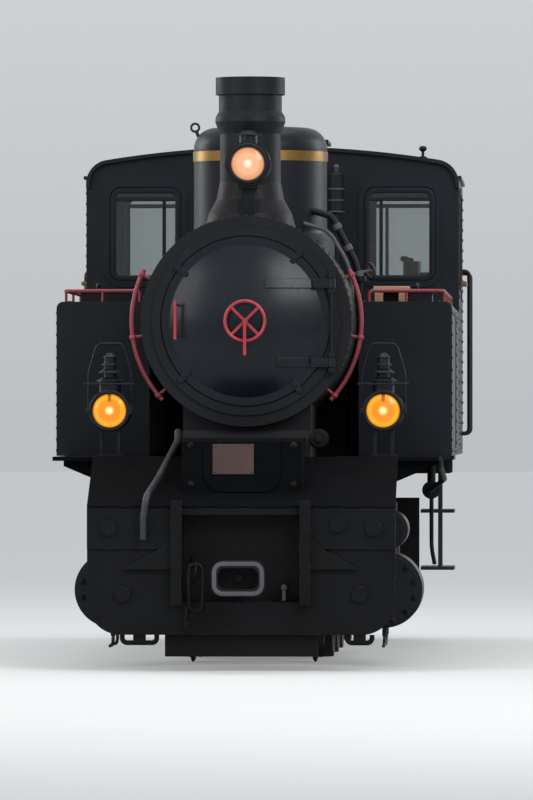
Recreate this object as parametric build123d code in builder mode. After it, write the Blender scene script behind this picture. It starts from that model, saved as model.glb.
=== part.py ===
from build123d import *
import os
from math import asin, atan2, cos, degrees, radians, sin, sqrt

# Narrow-gauge side-tank steam locomotive, six coupled wheels and a trailing pair,
# plate frames outside the wheels. Millimetres. The engine faces -Y, its left side is +X,
# and z = 0 is the lowest point of the wheel flanges.

# Whole engine
beam_face = 3640
coupler_face = 4050
body_half_width = 1155
seat_gap = 0.3
sides = (("right", -1), ("left", 1))

# Wheels, axles and cranks
drive_tread_r = 410
trail_tread_r = 285
flange_depth = 28
flange_width = 28
flange_tip = (0.35, 0.65)
flange_back_rise = 0.6
wheel_back = 345
tyre_width = 120
tyre_thick = 60
tread_taper = 4
rim_thick = 32
rim_inset = (8, 5)
drive_spokes = 10
trail_spokes = 8
spoke_wide = 46
spoke_thick = 36
spoke_inset = 40
weight_start = 180
weight_proud = 12
hub_r = 115
hub_proud = 8
axle_r = 70
journal_r = 62
journal_clear = 0.5
first_axle_y = -1690
axle_pitch = 950
trailing_axle_y = 2110
crank_throw = 200
crank_rest_angle = {"left": -135.0, "right": -45.0}
crank_in = 545
crank_thick = 60
crank_boss_r = 105
crank_eye_r = 68
pin_r = 38
pin_clear = 0.5
pin_collar_wide = 14
pin_collar_gap = 4
pin_collar_thick = 10
eccentric_throw = 90
eccentric_lead = 90
return_crank_thick = 26
return_crank_eye_r = 46
eccentric_pin_r = 22

# Rods
rod_gap = 10
flute_deep = 10
flute_edge = 17
coupling_flute_end = 30
main_flute_end = 45
coupling_rod_thick = 40
coupling_rod_high = 84
coupling_eye_r = 74
main_rod_gap = 25
main_rod_thick = 40
main_rod_length = 1500
big_end_r = 86
small_end_r = 56
main_rod_high = 80
eccentric_rod_gap = 9
eccentric_rod_thick = 24
eccentric_rod_high = 44
eccentric_eye_r = 40
open_pin_clear = 2

# Frames
frame_in = 500
frame_thick = 25
frame_top = 930
frame_low = 500
horn_low = 318
trail_horn_low = 200
horn_half = 150
horn_root_round = 5
keep_high = 22
frame_hole_high = 150
frame_hole_rise = 10
top_plate_half = 120
wheel_clear = 12
axle_box_half = 95
axle_box_high = 115
axle_box_proud = 12
box_cap_wall = 24
box_cap_proud = 26
stretcher_thick = 25

# Front and rear beams
beam_half_width = 865
beam_top = 913
beam_band_low = 686
beam_thick = 45
band_proud = 18
apron_plate_thick = 18
lower_plate_low = 205
lower_plate_round = 190
recess_half = 330
recess_top = 878
recess_low = 388
recess_deep = 160
post_wide = 62
post_proud = 55
post_low = 373
post_top = 958
pocket_wall = 20
gusset_thick = 16
gusset_shoulder = 70
gusset_reach = 665
gusset_foot = 573
gusset_rise = 110
guard_half = 430
guard_low = 82
guard_back = 90
guard_stay_thick = 20
bolt_head_r = 45
bolt_head_thick = 28
beam_hooks = (
    # x of the point, x of the back
    (-475, -669),
    (594, 734),
)
hook_r = 14
hook_z = (160, 215)
hook_boss = (35, 20)
beam_bolts = (
    # x, z, how far its plate stands back
    (745, 805, 0),
    (545, 826, 0),
    (665, 434, band_proud),
)

# Coupler
coupler_z = 528
coupler_head_wide = 300
coupler_head_high = 200
coupler_head_long = 150
head_round = 62
mouth_side = 38
mouth_lip = 41
mouth_back = 22
mouth_round = 40
draw_nut_r = 24
draw_nut_long = 23
coupler_bore_r = 26
shank_wide = 110
shank_high = 120

# Boiler
boiler_axis_z = 1973
smokebox_r = 600
smokebox_wall = 15
smokebox_front = -2890
smokebox_back = -1690
boiler_r = 565
firebox_front = 700
firebox_half = 470
firebox_low = 960
backhead_y = 1350
cover_ring_r = 537
cover_ring_thick = 15
front_ring_thick = 25
door_opening_r = 450
door_r = 480
door_edge_thick = 20
door_bulge = 95
door_clear = 0.5
hinge_x = 490
hinge_pin_r = 11
hinge_knuckle_r = 22
hinge_stand_off = 30
strap_heights = (2188, 1738)
strap_high = 52
strap_inner_x = (110, 180)
strap_proud = 12
lug_half = 18
lug_high = 28
lug_gap = 4
handwheel_r = 113
handwheel_rim_r = 10
handwheel_stand_off = 62
handwheel_hub_r = 16
handwheel_spoke = (16, 12)
lever_long = 195
lever_half = 9
grab_x = -400
grab_z = (-85, 95)
grab_past = 20
grab_stand_off = 75
grab_r = 9
grab_foot_r = 7
dog_angles = (52, 142, 222, 308)
dog_r = (425, 515)
dog_wide = 34
dog_thick = 18
dog_clear = 1

# Chimney, dome and headlamp
chimney_y = -2290
chimney_top = 3386
chimney_bore_r = 130
chimney_neck_r = 174
dome_y = -740
dome_r = 397
dome_top = 3168
dome_corner_r = 125
dome_crown = 24
dome_flare = 45
dome_flare_z = 2520
dome_band_low = 2948
dome_band_top = 3008
dome_band_thick = 5
headlamp_z = 2878
headlamp_r = 128
headlamp_lens_r = 100
headlamp_deep = 190
headlamp_back = 15
headlamp_lens_deep = 30
headlamp_vent_y = 90
headlamp_vent_r = 52
headlamp_cap = (74, 30, 26)
headlamp_arm_half = (24, 40)
headlamp_shelf_half = 60
headlamp_leg_half = 40
headlamp_foot_z = 2560

# Tanks and cab
tank_in = 610
tank_bottom = 1202
tank_top = 2103
tank_front = -1740
tank_corner_r = 40
cab_front_y = 1210
cab_rear_y = 2860
cab_wall = 30
cab_floor_thick = 30
cab_shoulder_z = 3003
cab_crown_z = 3108
cab_corner_r = 150
roof_thick = 22
roof_low = 2850
roof_overhang = 45
roof_vent_half = 260
roof_vent_y = (1750, 2350)
roof_vent_high = 45
roof_vent_lip = 50
roof_vent_cap = 20
window_wide = 445
window_side = 145
window_out = body_half_width - window_side
window_in = window_out - window_wide
window_low = 2272
window_top = 2858
window_corner_r = 70
glass_thick = 8
surround_wide = 35
surround_proud = 10
gutter_z = (2905, 2925)
gutter_proud = 14
door_y = (2120, 2720)
door_top = 2180
door_gap = 8
door_thick = 26
door_hinge_rise = 200
door_hinge_pin_r = 8
door_knuckle_r = 14
door_knuckle_half = 20
grab_rail_r = 13
grab_rail_z = (1330, 2350)
grab_rail_reach = 52
grab_rail_gap = 55
side_window_y = (1420, 1980)
side_window_z = (2250, 2820)
lid_y = -1190
lid_wide = 300
lid_long = 400
lid_collar_high = 55
lid_collar_wall = 12
lid_well_deep = 120
lid_thick = 20
lid_lip = 8
lid_clear = 0.5
lid_pin_r = 7
lid_pin_back = 16
lid_pin_rise = 14
lid_lug_y = 120
lid_lug_half = 12
lid_knuckle_y = 80
lid_knuckle_half = 20
lid_knuckle_r = 14
lid_handle_r = 8
lid_handle_half = 90
lid_handle_x = 60
lid_handle_rise = 32

# Bunker and footplate
bunker_back = 3560
bunker_top = 2250
bunker_wall = 12
bunker_skirt = 40
side_step_in = 55
bunker_half_width = body_half_width - side_step_in
plate_thick = 24
footplate_out = body_half_width - side_step_in
footplate_front = -2980
bracket_thick = 20

# Cylinders and motion
cylinder_x = 780
cylinder_r = 218
cylinder_y = (-2580, -2010)
valve_x = 805
valve_rise = 345
valve_r = 110
cover_thick = 30
cover_inset = 16
cover_boss_r = 96
cover_boss_thick = 22
valve_cover_inset = 14
valve_cover_thick = 18
valve_inset = 20
valve_tail_r = 48
valve_tail_long = 46
cock_inset = 60
cock_r = 14
cock_drop = 48
piston_rod_r = 28
slide_bar_wide = 80
slide_bar_thick = 38
crosshead_high = 124
crosshead_long = 180
slide_bar_back = -1010
gland_r = 70
gland_long = 30
bar_plate_thick = 12
bracket_foot = 20
bracket_drop = 5
motion_bracket_thick = 30
link_y = -640
link_z = 800
link_half = 190
link_bow = 30
link_lean = 26
link_wide = 60
link_arm_y = (-30, 60)
link_arm_drop = 28
radius_rod_half = 20
radius_rod_thick = 18
rod_window = 34
lever_half_wide = 22
lever_gap = 8
lever_thick = 18
spindle_r = 16
arm_low = 856
tail_z = 505

# Front lamps
lamp_x = 780
lamp_z = 1464
lamp_y = -2900
lamp_body_r = 118
lamp_lens_r = 102
lamp_deep = 170
lamp_lens_deep = 28
lamp_neck_r = 62
lamp_vent_r = 34
lamp_vents = (
    # rise above the body, half width of the skirt
    (50, 84),
    (98, 68),
    (140, 50),
)
lamp_top_rise = 200
lamp_leg_x = 50
lamp_leg_half = 9
lamp_foot_half = 80
lamp_foot_thick = 12

# Places that follow from the sizes
drive_axle_z = drive_tread_r + flange_depth
trail_axle_z = trail_tread_r + flange_depth
driven_axle_y = first_axle_y + 2 * axle_pitch
wheel_face = wheel_back + tyre_width
frame_out = frame_in + frame_thick
crank_out = crank_in + crank_thick
coupling_x = (crank_out + rod_gap, crank_out + rod_gap + coupling_rod_thick)
main_x = (coupling_x[1] + main_rod_gap, coupling_x[1] + main_rod_gap + main_rod_thick)
return_x = (main_x[1] + 8, main_x[1] + 8 + return_crank_thick)
eccentric_x = (return_x[1] + eccentric_rod_gap, return_x[1] + eccentric_rod_gap + eccentric_rod_thick)
crosshead_x = (main_x[1] + 15, main_x[1] + 15 + 2 * (cylinder_x - main_x[1] - 15))
ring_face = smokebox_front - front_ring_thick
door_back = ring_face - door_clear
door_face = door_back - door_edge_thick
hinge_y = ring_face - cover_ring_thick - hinge_stand_off
footplate_z = (tank_bottom - plate_thick, tank_bottom)
cab_floor_z = tank_bottom + cab_floor_thick
slide_bar_y = (cylinder_y[1] + cover_thick, slide_bar_back)
crank_table = {
    side: (
        driven_axle_y + crank_throw * cos(radians(angle)),
        drive_axle_z + crank_throw * sin(radians(angle)),
    )
    for side, angle in crank_rest_angle.items()
}
crosshead_table = {
    side: pin_y - sqrt(main_rod_length**2 - (drive_axle_z - pin_z) ** 2)
    for side, (pin_y, pin_z) in crank_table.items()
}


def block(x, y, z, mode=Mode.ADD):
    """Rectangular block between the given pairs of x, y and z."""
    middle = ((x[0] + x[1]) / 2, (y[0] + y[1]) / 2, (z[0] + z[1]) / 2)
    with Locations(middle):
        Box(abs(x[1] - x[0]), abs(y[1] - y[0]), abs(z[1] - z[0]), mode=mode)


def round_x(radius, x, y, z, mode=Mode.ADD):
    """Round bar along X between the pair x, on the line y, z."""
    with Locations(((x[0] + x[1]) / 2, y, z)):
        Cylinder(radius, abs(x[1] - x[0]), rotation=(0, 90, 0), mode=mode)


def round_y(radius, x, y, z, mode=Mode.ADD):
    """Round bar along Y between the pair y, on the line x, z."""
    with Locations((x, (y[0] + y[1]) / 2, z)):
        Cylinder(radius, abs(y[1] - y[0]), rotation=(90, 0, 0), mode=mode)


def round_z(radius, x, y, z, mode=Mode.ADD):
    """Round bar along Z between the pair z, on the line x, y."""
    with Locations((x, y, (z[0] + z[1]) / 2)):
        Cylinder(radius, abs(z[1] - z[0]), mode=mode)


def tube(radius, points, bend):
    """Bent round bar through the points, each corner rounded to the same radius."""
    with BuildLine() as route:
        if len(points) > 2:
            FilletPolyline(*points, radius=bend)
        else:
            Line(*points)
    path = route.wires()[0]
    with BuildSketch(Plane(origin=path @ 0, z_dir=path % 0)) as section:
        Circle(radius)
    sweep(section.sketch, path=path)


def rod_outline(centre_a, radius_a, centre_b, radius_b, half_high):
    """Side view of a rod: an eye at each end and a straight bar between them."""
    run = degrees(atan2(centre_b[1] - centre_a[1], centre_b[0] - centre_a[0]))
    length = sqrt((centre_b[0] - centre_a[0]) ** 2 + (centre_b[1] - centre_a[1]) ** 2)
    middle = ((centre_a[0] + centre_b[0]) / 2, (centre_a[1] + centre_b[1]) / 2)
    with Locations(centre_a):
        Circle(radius_a)
    with Locations(centre_b):
        Circle(radius_b)
    with Locations(Location((middle[0], middle[1], 0), (0, 0, run))):
        Rectangle(length, 2 * half_high)


def save(piece, name):
    piece.part.label = name
    export_step(piece.part, f"parts/{name}.step")


os.makedirs("parts", exist_ok=True)


# Wheelsets: axle, spoked wheels with their tyres, and the outside cranks with their pins
wheelset_table = (
    # name, axle y, tread radius, axle z, spokes, cranks
    ("wheelset_leading", first_axle_y, drive_tread_r, drive_axle_z, drive_spokes, "coupled"),
    ("wheelset_middle", first_axle_y + axle_pitch, drive_tread_r, drive_axle_z, drive_spokes, "coupled"),
    ("wheelset_driven", driven_axle_y, drive_tread_r, drive_axle_z, drive_spokes, "driven"),
    ("wheelset_trailing", trailing_axle_y, trail_tread_r, trail_axle_z, trail_spokes, "none"),
)
rim_x = (wheel_back + rim_inset[0], wheel_face - rim_inset[1])
spoke_x = (wheel_back + spoke_inset, wheel_back + spoke_inset + spoke_thick)
for name, axle_y, tread_r, axle_z, spokes, cranks in wheelset_table:
    with BuildPart() as wheelset:
        if cranks == "none":
            axle_end = frame_out
        else:
            axle_end = crank_out
        round_x(axle_r, (-frame_in + 25, frame_in - 25), axle_y, axle_z)
        round_x(journal_r, (-axle_end, axle_end), axle_y, axle_z)
        for side, sign in sides:
            with BuildSketch(Plane.XZ.offset(-axle_y)) as tyre:
                with BuildLine():
                    Polyline(
                        (sign * wheel_back, axle_z + tread_r - tyre_thick),
                        (sign * wheel_back, axle_z + tread_r + flange_depth * flange_back_rise),
                        (sign * (wheel_back + flange_width * flange_tip[0]), axle_z + tread_r + flange_depth),
                        (sign * (wheel_back + flange_width * flange_tip[1]), axle_z + tread_r + flange_depth),
                        (sign * (wheel_back + flange_width), axle_z + tread_r),
                        (sign * wheel_face, axle_z + tread_r - tread_taper),
                        (sign * wheel_face, axle_z + tread_r - tyre_thick),
                        close=True,
                    )
                make_face()
            revolve(tyre.sketch, axis=Axis((0, axle_y, axle_z), (1, 0, 0)))
            rim_r = tread_r - tyre_thick
            with BuildSketch(Plane.YZ.offset(sign * rim_x[0])) as rim:
                with Locations((axle_y, axle_z)):
                    Circle(rim_r + 2)
                    Circle(rim_r - rim_thick, mode=Mode.SUBTRACT)
            extrude(rim.sketch, amount=sign * (rim_x[1] - rim_x[0]))
            round_x(hub_r, (sign * rim_x[0], sign * (rim_x[1] + hub_proud)), axle_y, axle_z)
            with BuildSketch(Plane.YZ.offset(sign * spoke_x[0])) as spoke_star:
                with Locations((axle_y, axle_z)):
                    with PolarLocations((hub_r + rim_r) / 2 - 20, spokes):
                        Rectangle(rim_r - hub_r + 10, spoke_wide)
            extrude(spoke_star.sketch, amount=sign * spoke_thick)
            if cranks != "none":
                angle = radians(crank_rest_angle[side])
                pin_y = axle_y + crank_throw * cos(angle)
                pin_z = axle_z + crank_throw * sin(angle)
                with BuildSketch(Plane.YZ.offset(sign * spoke_x[0])) as weight:
                    with Locations((axle_y, axle_z)):
                        Circle(rim_r - 5)
                    cut = rim_r - weight_start
                    with Locations(
                        Location(
                            (axle_y + cut * cos(angle), axle_z + cut * sin(angle), 0),
                            (0, 0, degrees(angle)),
                        )
                    ):
                        Rectangle(2 * rim_r, 2 * rim_r + 10, mode=Mode.SUBTRACT)
                extrude(weight.sketch, amount=sign * (spoke_thick + weight_proud))
                with BuildSketch(Plane.YZ.offset(sign * crank_in)) as web:
                    with Locations((axle_y, axle_z)):
                        Circle(crank_boss_r)
                    with Locations((pin_y, pin_z)):
                        Circle(crank_eye_r)
                    make_hull()
                extrude(web.sketch, amount=sign * crank_thick)
                if cranks == "driven":
                    pin_end = return_x[0]
                else:
                    pin_end = coupling_x[1] + pin_collar_gap + pin_collar_thick
                round_x(pin_r, (sign * (crank_out - 1), sign * pin_end), pin_y, pin_z)
                if cranks == "driven":
                    lead = angle + radians(eccentric_lead)
                    tip_y = axle_y + eccentric_throw * cos(lead)
                    tip_z = axle_z + eccentric_throw * sin(lead)
                    with BuildSketch(Plane.YZ.offset(sign * return_x[0])) as return_crank:
                        with Locations((pin_y, pin_z), (tip_y, tip_z)):
                            Circle(return_crank_eye_r)
                        make_hull()
                    extrude(return_crank.sketch, amount=sign * return_crank_thick)
                    round_x(
                        eccentric_pin_r,
                        (sign * (return_x[1] - 1), sign * (eccentric_x[1] + 10)),
                        tip_y,
                        tip_z,
                    )
                else:
                    round_x(
                        pin_r + pin_collar_wide,
                        (sign * (coupling_x[1] + pin_collar_gap), sign * pin_end),
                        pin_y,
                        pin_z,
                    )
    save(wheelset, name)

# Coupling rods, main rods and eccentric rods, each side's own
for side, sign in sides:
    angle = radians(crank_rest_angle[side])
    pin_y, pin_z = crank_table[side]
    with BuildPart() as coupling_rod:
        with BuildSketch(Plane.YZ.offset(sign * coupling_x[0])) as outline:
            rod_outline(
                (pin_y - 2 * axle_pitch, pin_z),
                coupling_eye_r,
                (pin_y, pin_z),
                coupling_eye_r,
                coupling_rod_high / 2,
            )
            with Locations((pin_y - axle_pitch, pin_z)):
                Circle(coupling_eye_r)
        extrude(outline.sketch, amount=sign * coupling_rod_thick)
        with BuildSketch(Plane.YZ.offset(sign * (coupling_x[1] - flute_deep))) as flute:
            with Locations((pin_y - 1.5 * axle_pitch, pin_z), (pin_y - 0.5 * axle_pitch, pin_z)):
                SlotOverall(
                    axle_pitch - 2 * (coupling_eye_r + coupling_flute_end),
                    coupling_rod_high - 2 * flute_edge,
                )
        extrude(flute.sketch, amount=sign * (flute_deep + 2), mode=Mode.SUBTRACT)
        for step in range(3):
            round_x(
                pin_r + pin_clear,
                (sign * (coupling_x[0] - 5), sign * (coupling_x[1] + 5)),
                pin_y - step * axle_pitch,
                pin_z,
                mode=Mode.SUBTRACT,
            )
    save(coupling_rod, f"coupling_rod_{side}")

    crosshead_y = crosshead_table[side]
    with BuildPart() as main_rod:
        with BuildSketch(Plane.YZ.offset(sign * main_x[0])) as outline:
            rod_outline(
                (crosshead_y, drive_axle_z),
                small_end_r,
                (pin_y, pin_z),
                big_end_r,
                main_rod_high / 2,
            )
        extrude(outline.sketch, amount=sign * main_rod_thick)
        run = degrees(atan2(pin_z - drive_axle_z, pin_y - crosshead_y))
        with BuildSketch(Plane.YZ.offset(sign * (main_x[1] - flute_deep))) as flute:
            middle = ((pin_y + crosshead_y) / 2, (pin_z + drive_axle_z) / 2, 0)
            with Locations(Location(middle, (0, 0, run))):
                SlotOverall(
                    main_rod_length - 2 * (big_end_r + main_flute_end),
                    main_rod_high - 2 * flute_edge,
                )
        extrude(flute.sketch, amount=sign * (flute_deep + 2), mode=Mode.SUBTRACT)
        round_x(
            pin_r + pin_clear,
            (sign * (main_x[0] - 5), sign * (main_x[1] + 5)),
            pin_y,
            pin_z,
            mode=Mode.SUBTRACT,
        )
        round_x(
            small_end_r * 0.5,
            (sign * (main_x[1] - 1), sign * (crosshead_x[0] - open_pin_clear)),
            crosshead_y,
            drive_axle_z,
        )
    save(main_rod, f"main_rod_{side}")

    lead = angle + radians(eccentric_lead)
    tip_y = driven_axle_y + eccentric_throw * cos(lead)
    tip_z = drive_axle_z + eccentric_throw * sin(lead)
    with BuildPart() as eccentric_rod:
        with BuildSketch(Plane.YZ.offset(sign * eccentric_x[0])) as outline:
            rod_outline(
                (link_y, tail_z),
                eccentric_eye_r,
                (tip_y, tip_z),
                eccentric_eye_r + 8,
                eccentric_rod_high / 2,
            )
        extrude(outline.sketch, amount=sign * eccentric_rod_thick)
        round_x(
            eccentric_pin_r + pin_clear,
            (sign * (eccentric_x[0] - 5), sign * (eccentric_x[1] + 5)),
            tip_y,
            tip_z,
            mode=Mode.SUBTRACT,
        )
    save(eccentric_rod, f"eccentric_rod_{side}")

# Main frame: two plates with horn gaps, tied by stretchers
axle_table = [(first_axle_y + step * axle_pitch, drive_axle_z, horn_low) for step in range(3)]
axle_table.append((trailing_axle_y, trail_axle_z, trail_horn_low))
with BuildPart() as main_frame:
    frame_y = (-beam_face + beam_thick, beam_face - beam_thick)
    # Lightening holes: y of the middle, length
    hole_table = (
        (first_axle_y + axle_pitch / 2, 420),
        (first_axle_y + 3 * axle_pitch / 2, 420),
        ((driven_axle_y + trailing_axle_y) / 2, 620),
        (2900, 520),
    )
    for side, sign in sides:
        with BuildSketch(Plane.YZ.offset(sign * frame_in)) as frame_plate:
            with Locations(((frame_y[0] + frame_y[1]) / 2, (frame_low + frame_top) / 2)):
                Rectangle(frame_y[1] - frame_y[0], frame_top - frame_low)
            for axle_y, axle_z, low in axle_table:
                with Locations((axle_y, (low + frame_low) / 2 + horn_root_round)):
                    Rectangle(2 * horn_half, frame_low - low + 2 * horn_root_round)
            for y, length in hole_table:
                with Locations((y, (frame_low + frame_top) / 2 + frame_hole_rise)):
                    SlotOverall(length, frame_hole_high, mode=Mode.SUBTRACT)
            for axle_y, axle_z, low in axle_table:
                gap_top = axle_z + axle_box_high
                with Locations((axle_y, (low + gap_top) / 2 - 5)):
                    Rectangle(2 * axle_box_half, gap_top - low + 10, mode=Mode.SUBTRACT)
        extrude(frame_plate.sketch, amount=sign * frame_thick)
    # Keeps across the foot of each horn gap
    for side, sign in sides:
        for axle_y, axle_z, low in axle_table:
            block(
                (sign * frame_in, sign * frame_out),
                (axle_y - horn_half, axle_y + horn_half),
                (low - keep_high, low),
            )
    # Stretchers: y, low z, high z
    stretcher_table = (
        (-3300, 560, 900),
        (-2760, 600, 920),
        (-2180, 560, 920),
        (1650, 560, 900),
        (2620, 520, 900),
        (3300, 560, 900),
    )
    for y, low, high in stretcher_table:
        block((-frame_in, frame_in), (y - stretcher_thick / 2, y + stretcher_thick / 2), (low, high))
    top_low = drive_axle_z + drive_tread_r + flange_depth + wheel_clear
    middle_axle_y = first_axle_y + axle_pitch
    block(
        (-frame_in, frame_in),
        (middle_axle_y - top_plate_half, middle_axle_y + top_plate_half),
        (top_low, frame_top),
    )
save(main_frame, "main_frame")

# Axle boxes, one casting in each horn gap
with BuildPart() as axle_boxes:
    for side, sign in sides:
        for axle_y, axle_z, low in axle_table:
            block(
                (sign * (frame_in - axle_box_proud), sign * (frame_out + axle_box_proud)),
                (axle_y - axle_box_half, axle_y + axle_box_half),
                (low, axle_z + axle_box_high),
            )
            round_x(
                journal_r + journal_clear,
                (sign * (frame_in - 40), sign * (frame_out + 40)),
                axle_y,
                axle_z,
                mode=Mode.SUBTRACT,
            )
    for side, sign in sides:
        round_x(
            journal_r + box_cap_wall,
            (sign * (frame_out + 2), sign * (frame_out + axle_box_proud + box_cap_proud)),
            trailing_axle_y,
            trail_axle_z,
        )

# Laminated springs above the axle boxes, each with its buckle and hangers
spring_in = frame_out + 8
leaf_wide = 64
spring_leaf = 12
spring_leaves = 6
spring_half = 360
spring_step = 48
spring_over_axle = 300
spring_over_crank = 40
buckle_wide = 78
buckle_half = 36
hanger_half = 16
hanger_inset = 20
with BuildPart() as springs:
    add(axle_boxes.part)
    for side, sign in sides:
        spring_x = (sign * frame_out, sign * (frame_out + buckle_wide))
        leaf_x = sign * spring_in
        for axle_y, axle_z, low in axle_table:
            base = axle_z + max(crank_throw + crank_eye_r + spring_over_crank, spring_over_axle)
            crown = base + spring_leaves * spring_leaf
            stack = []
            for leaf in range(spring_leaves):
                half = spring_half - spring_step * (spring_leaves - 1 - leaf)
                stack.append((half, base + spring_leaf * leaf))
                stack.append((half, base + spring_leaf * (leaf + 1)))
            with BuildSketch(Plane.YZ.offset(leaf_x)) as leaves:
                with BuildLine():
                    Polyline(
                        *[(axle_y + half, z) for half, z in stack],
                        *[(axle_y - half, z) for half, z in reversed(stack)],
                        close=True,
                    )
                make_face()
            extrude(leaves.sketch, amount=sign * leaf_wide)
            block(spring_x, (axle_y - buckle_half, axle_y + buckle_half), (base - 10, crown + 14))
            for end in (-1, 1):
                hanger_y = axle_y + end * (spring_half - hanger_inset)
                block(spring_x, (hanger_y - hanger_half, hanger_y + hanger_half), (crown - 46, crown + 20))
save(springs, "springs_and_axle_boxes")


# Front and rear beams with their lower plates; the front one has the coupler pocket between two posts
for end, name in ((-1, "front_beam"), (1, "rear_beam")):
    with BuildPart() as beam:
        with BuildSketch(Plane.XZ.offset(-end * (beam_face - band_proud))) as face:
            with Locations((0, (beam_top + lower_plate_low) / 2)):
                Rectangle(2 * beam_half_width, beam_top - lower_plate_low)
            fillet(face.vertices().group_by(Axis.Y)[0], lower_plate_round)
            with Locations((0, (recess_top + recess_low) / 2)):
                Rectangle(2 * recess_half, recess_top - recess_low, mode=Mode.SUBTRACT)
        extrude(face.sketch, amount=end * apron_plate_thick)
        with BuildSketch(Plane.XZ.offset(-end * beam_face)) as band:
            with Locations((0, (beam_top + beam_band_low) / 2)):
                Rectangle(2 * beam_half_width, beam_top - beam_band_low)
            with Locations((0, (recess_top + recess_low) / 2)):
                Rectangle(2 * recess_half, recess_top - recess_low, mode=Mode.SUBTRACT)
        extrude(band.sketch, amount=end * beam_thick)
        pocket_back = end * (beam_face - recess_deep)
        pocket_z = (recess_low - pocket_wall, recess_top + pocket_wall)
        block(
            (-recess_half - pocket_wall, recess_half + pocket_wall),
            (pocket_back, pocket_back - end * pocket_wall),
            pocket_z,
        )
        for sign in (-1, 1):
            block(
                (sign * recess_half, sign * (recess_half + pocket_wall)),
                (end * (beam_face - apron_plate_thick), pocket_back),
                pocket_z,
            )
        for z in (recess_low - pocket_wall, recess_top):
            block(
                (-recess_half, recess_half),
                (end * (beam_face - apron_plate_thick), pocket_back),
                (z, z + pocket_wall),
            )
        for sign in (-1, 1):
            post_x = sorted((sign * recess_half, sign * (recess_half + post_wide)))
            block(post_x, (end * beam_face, end * (beam_face + post_proud)), (post_low, post_top))
            with BuildSketch(Plane.XZ.offset(-end * beam_face)) as gusset:
                with BuildLine():
                    Polyline(
                        (sign * (recess_half + post_wide - 1), beam_band_low + gusset_rise / 2),
                        (sign * (recess_half + post_wide + gusset_shoulder), beam_band_low),
                        (sign * gusset_reach, gusset_foot),
                        (sign * (recess_half + post_wide - 1), gusset_foot),
                        close=True,
                    )
                make_face()
            extrude(gusset.sketch, amount=-end * gusset_thick)
        for x, z, back in beam_bolts:
            for sign in (-1, 1):
                seat = beam_face - back
                round_y(bolt_head_r, sign * x, (end * (seat - 1), end * (seat + bolt_head_thick)), z)
        # Guard plate low down between the rails
        block(
            (-guard_half, guard_half),
            (end * (beam_face - guard_back), end * (beam_face - guard_back + apron_plate_thick)),
            (guard_low, pocket_z[0]),
        )
        for sign in (-1, 1):
            block(
                (sign * (guard_half - 1.5 * guard_stay_thick), sign * (guard_half - 0.5 * guard_stay_thick)),
                (end * (beam_face - guard_back), end * (beam_face - apron_plate_thick)),
                (lower_plate_low + 20, pocket_z[0]),
            )
        if end < 0:
            hook_y = -beam_face + band_proud + apron_plate_thick + hook_boss[1]
            for tip, heel in beam_hooks:
                middle = (tip + heel) / 2
                tube(
                    hook_r,
                    (
                        (tip, hook_y, hook_z[1]),
                        (tip, hook_y, hook_z[0]),
                        (heel, hook_y, hook_z[0]),
                        (heel, hook_y, hook_z[1] - 10),
                    ),
                    2 * hook_r,
                )
                block(
                    (middle - hook_boss[0], middle + hook_boss[0]),
                    (hook_y - hook_boss[1], hook_y + hook_boss[1]),
                    (hook_z[0], lower_plate_low + 90),
                )
    save(beam, name)

# Couplers at both ends: a flat-faced central buffer with a link slot and a drop pin's bore
with BuildPart() as couplers:
    for end in (-1, 1):
        head_back = end * (coupler_face - coupler_head_long)
        with BuildSketch(Plane.XZ.offset(-end * coupler_face)) as head:
            with Locations((0, coupler_z)):
                RectangleRounded(coupler_head_wide, coupler_head_high, head_round)
        extrude(head.sketch, amount=end * coupler_head_long)
        with BuildSketch(Plane.XZ.offset(-end * coupler_face)) as mouth:
            with Locations((0, coupler_z)):
                RectangleRounded(
                    coupler_head_wide - 2 * mouth_side,
                    coupler_head_high - 2 * mouth_lip,
                    mouth_round,
                )
        extrude(mouth.sketch, amount=end * (coupler_head_long - mouth_back), mode=Mode.SUBTRACT)
        shank_root = end * (beam_face - recess_deep)
        block(
            (-shank_wide / 2, shank_wide / 2),
            (head_back, shank_root),
            (coupler_z - shank_high / 2, coupler_z + shank_high / 2),
        )
        nut_root = coupler_face - coupler_head_long + mouth_back
        round_y(draw_nut_r, 0, (end * (nut_root - 1), end * (nut_root + draw_nut_long)), coupler_z)
        pin_y = end * (coupler_face - coupler_head_long / 2)
        round_z(
            coupler_bore_r,
            0,
            pin_y,
            (coupler_z - coupler_head_high, coupler_z + coupler_head_high),
            mode=Mode.SUBTRACT,
        )
save(couplers, "couplers")

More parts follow.
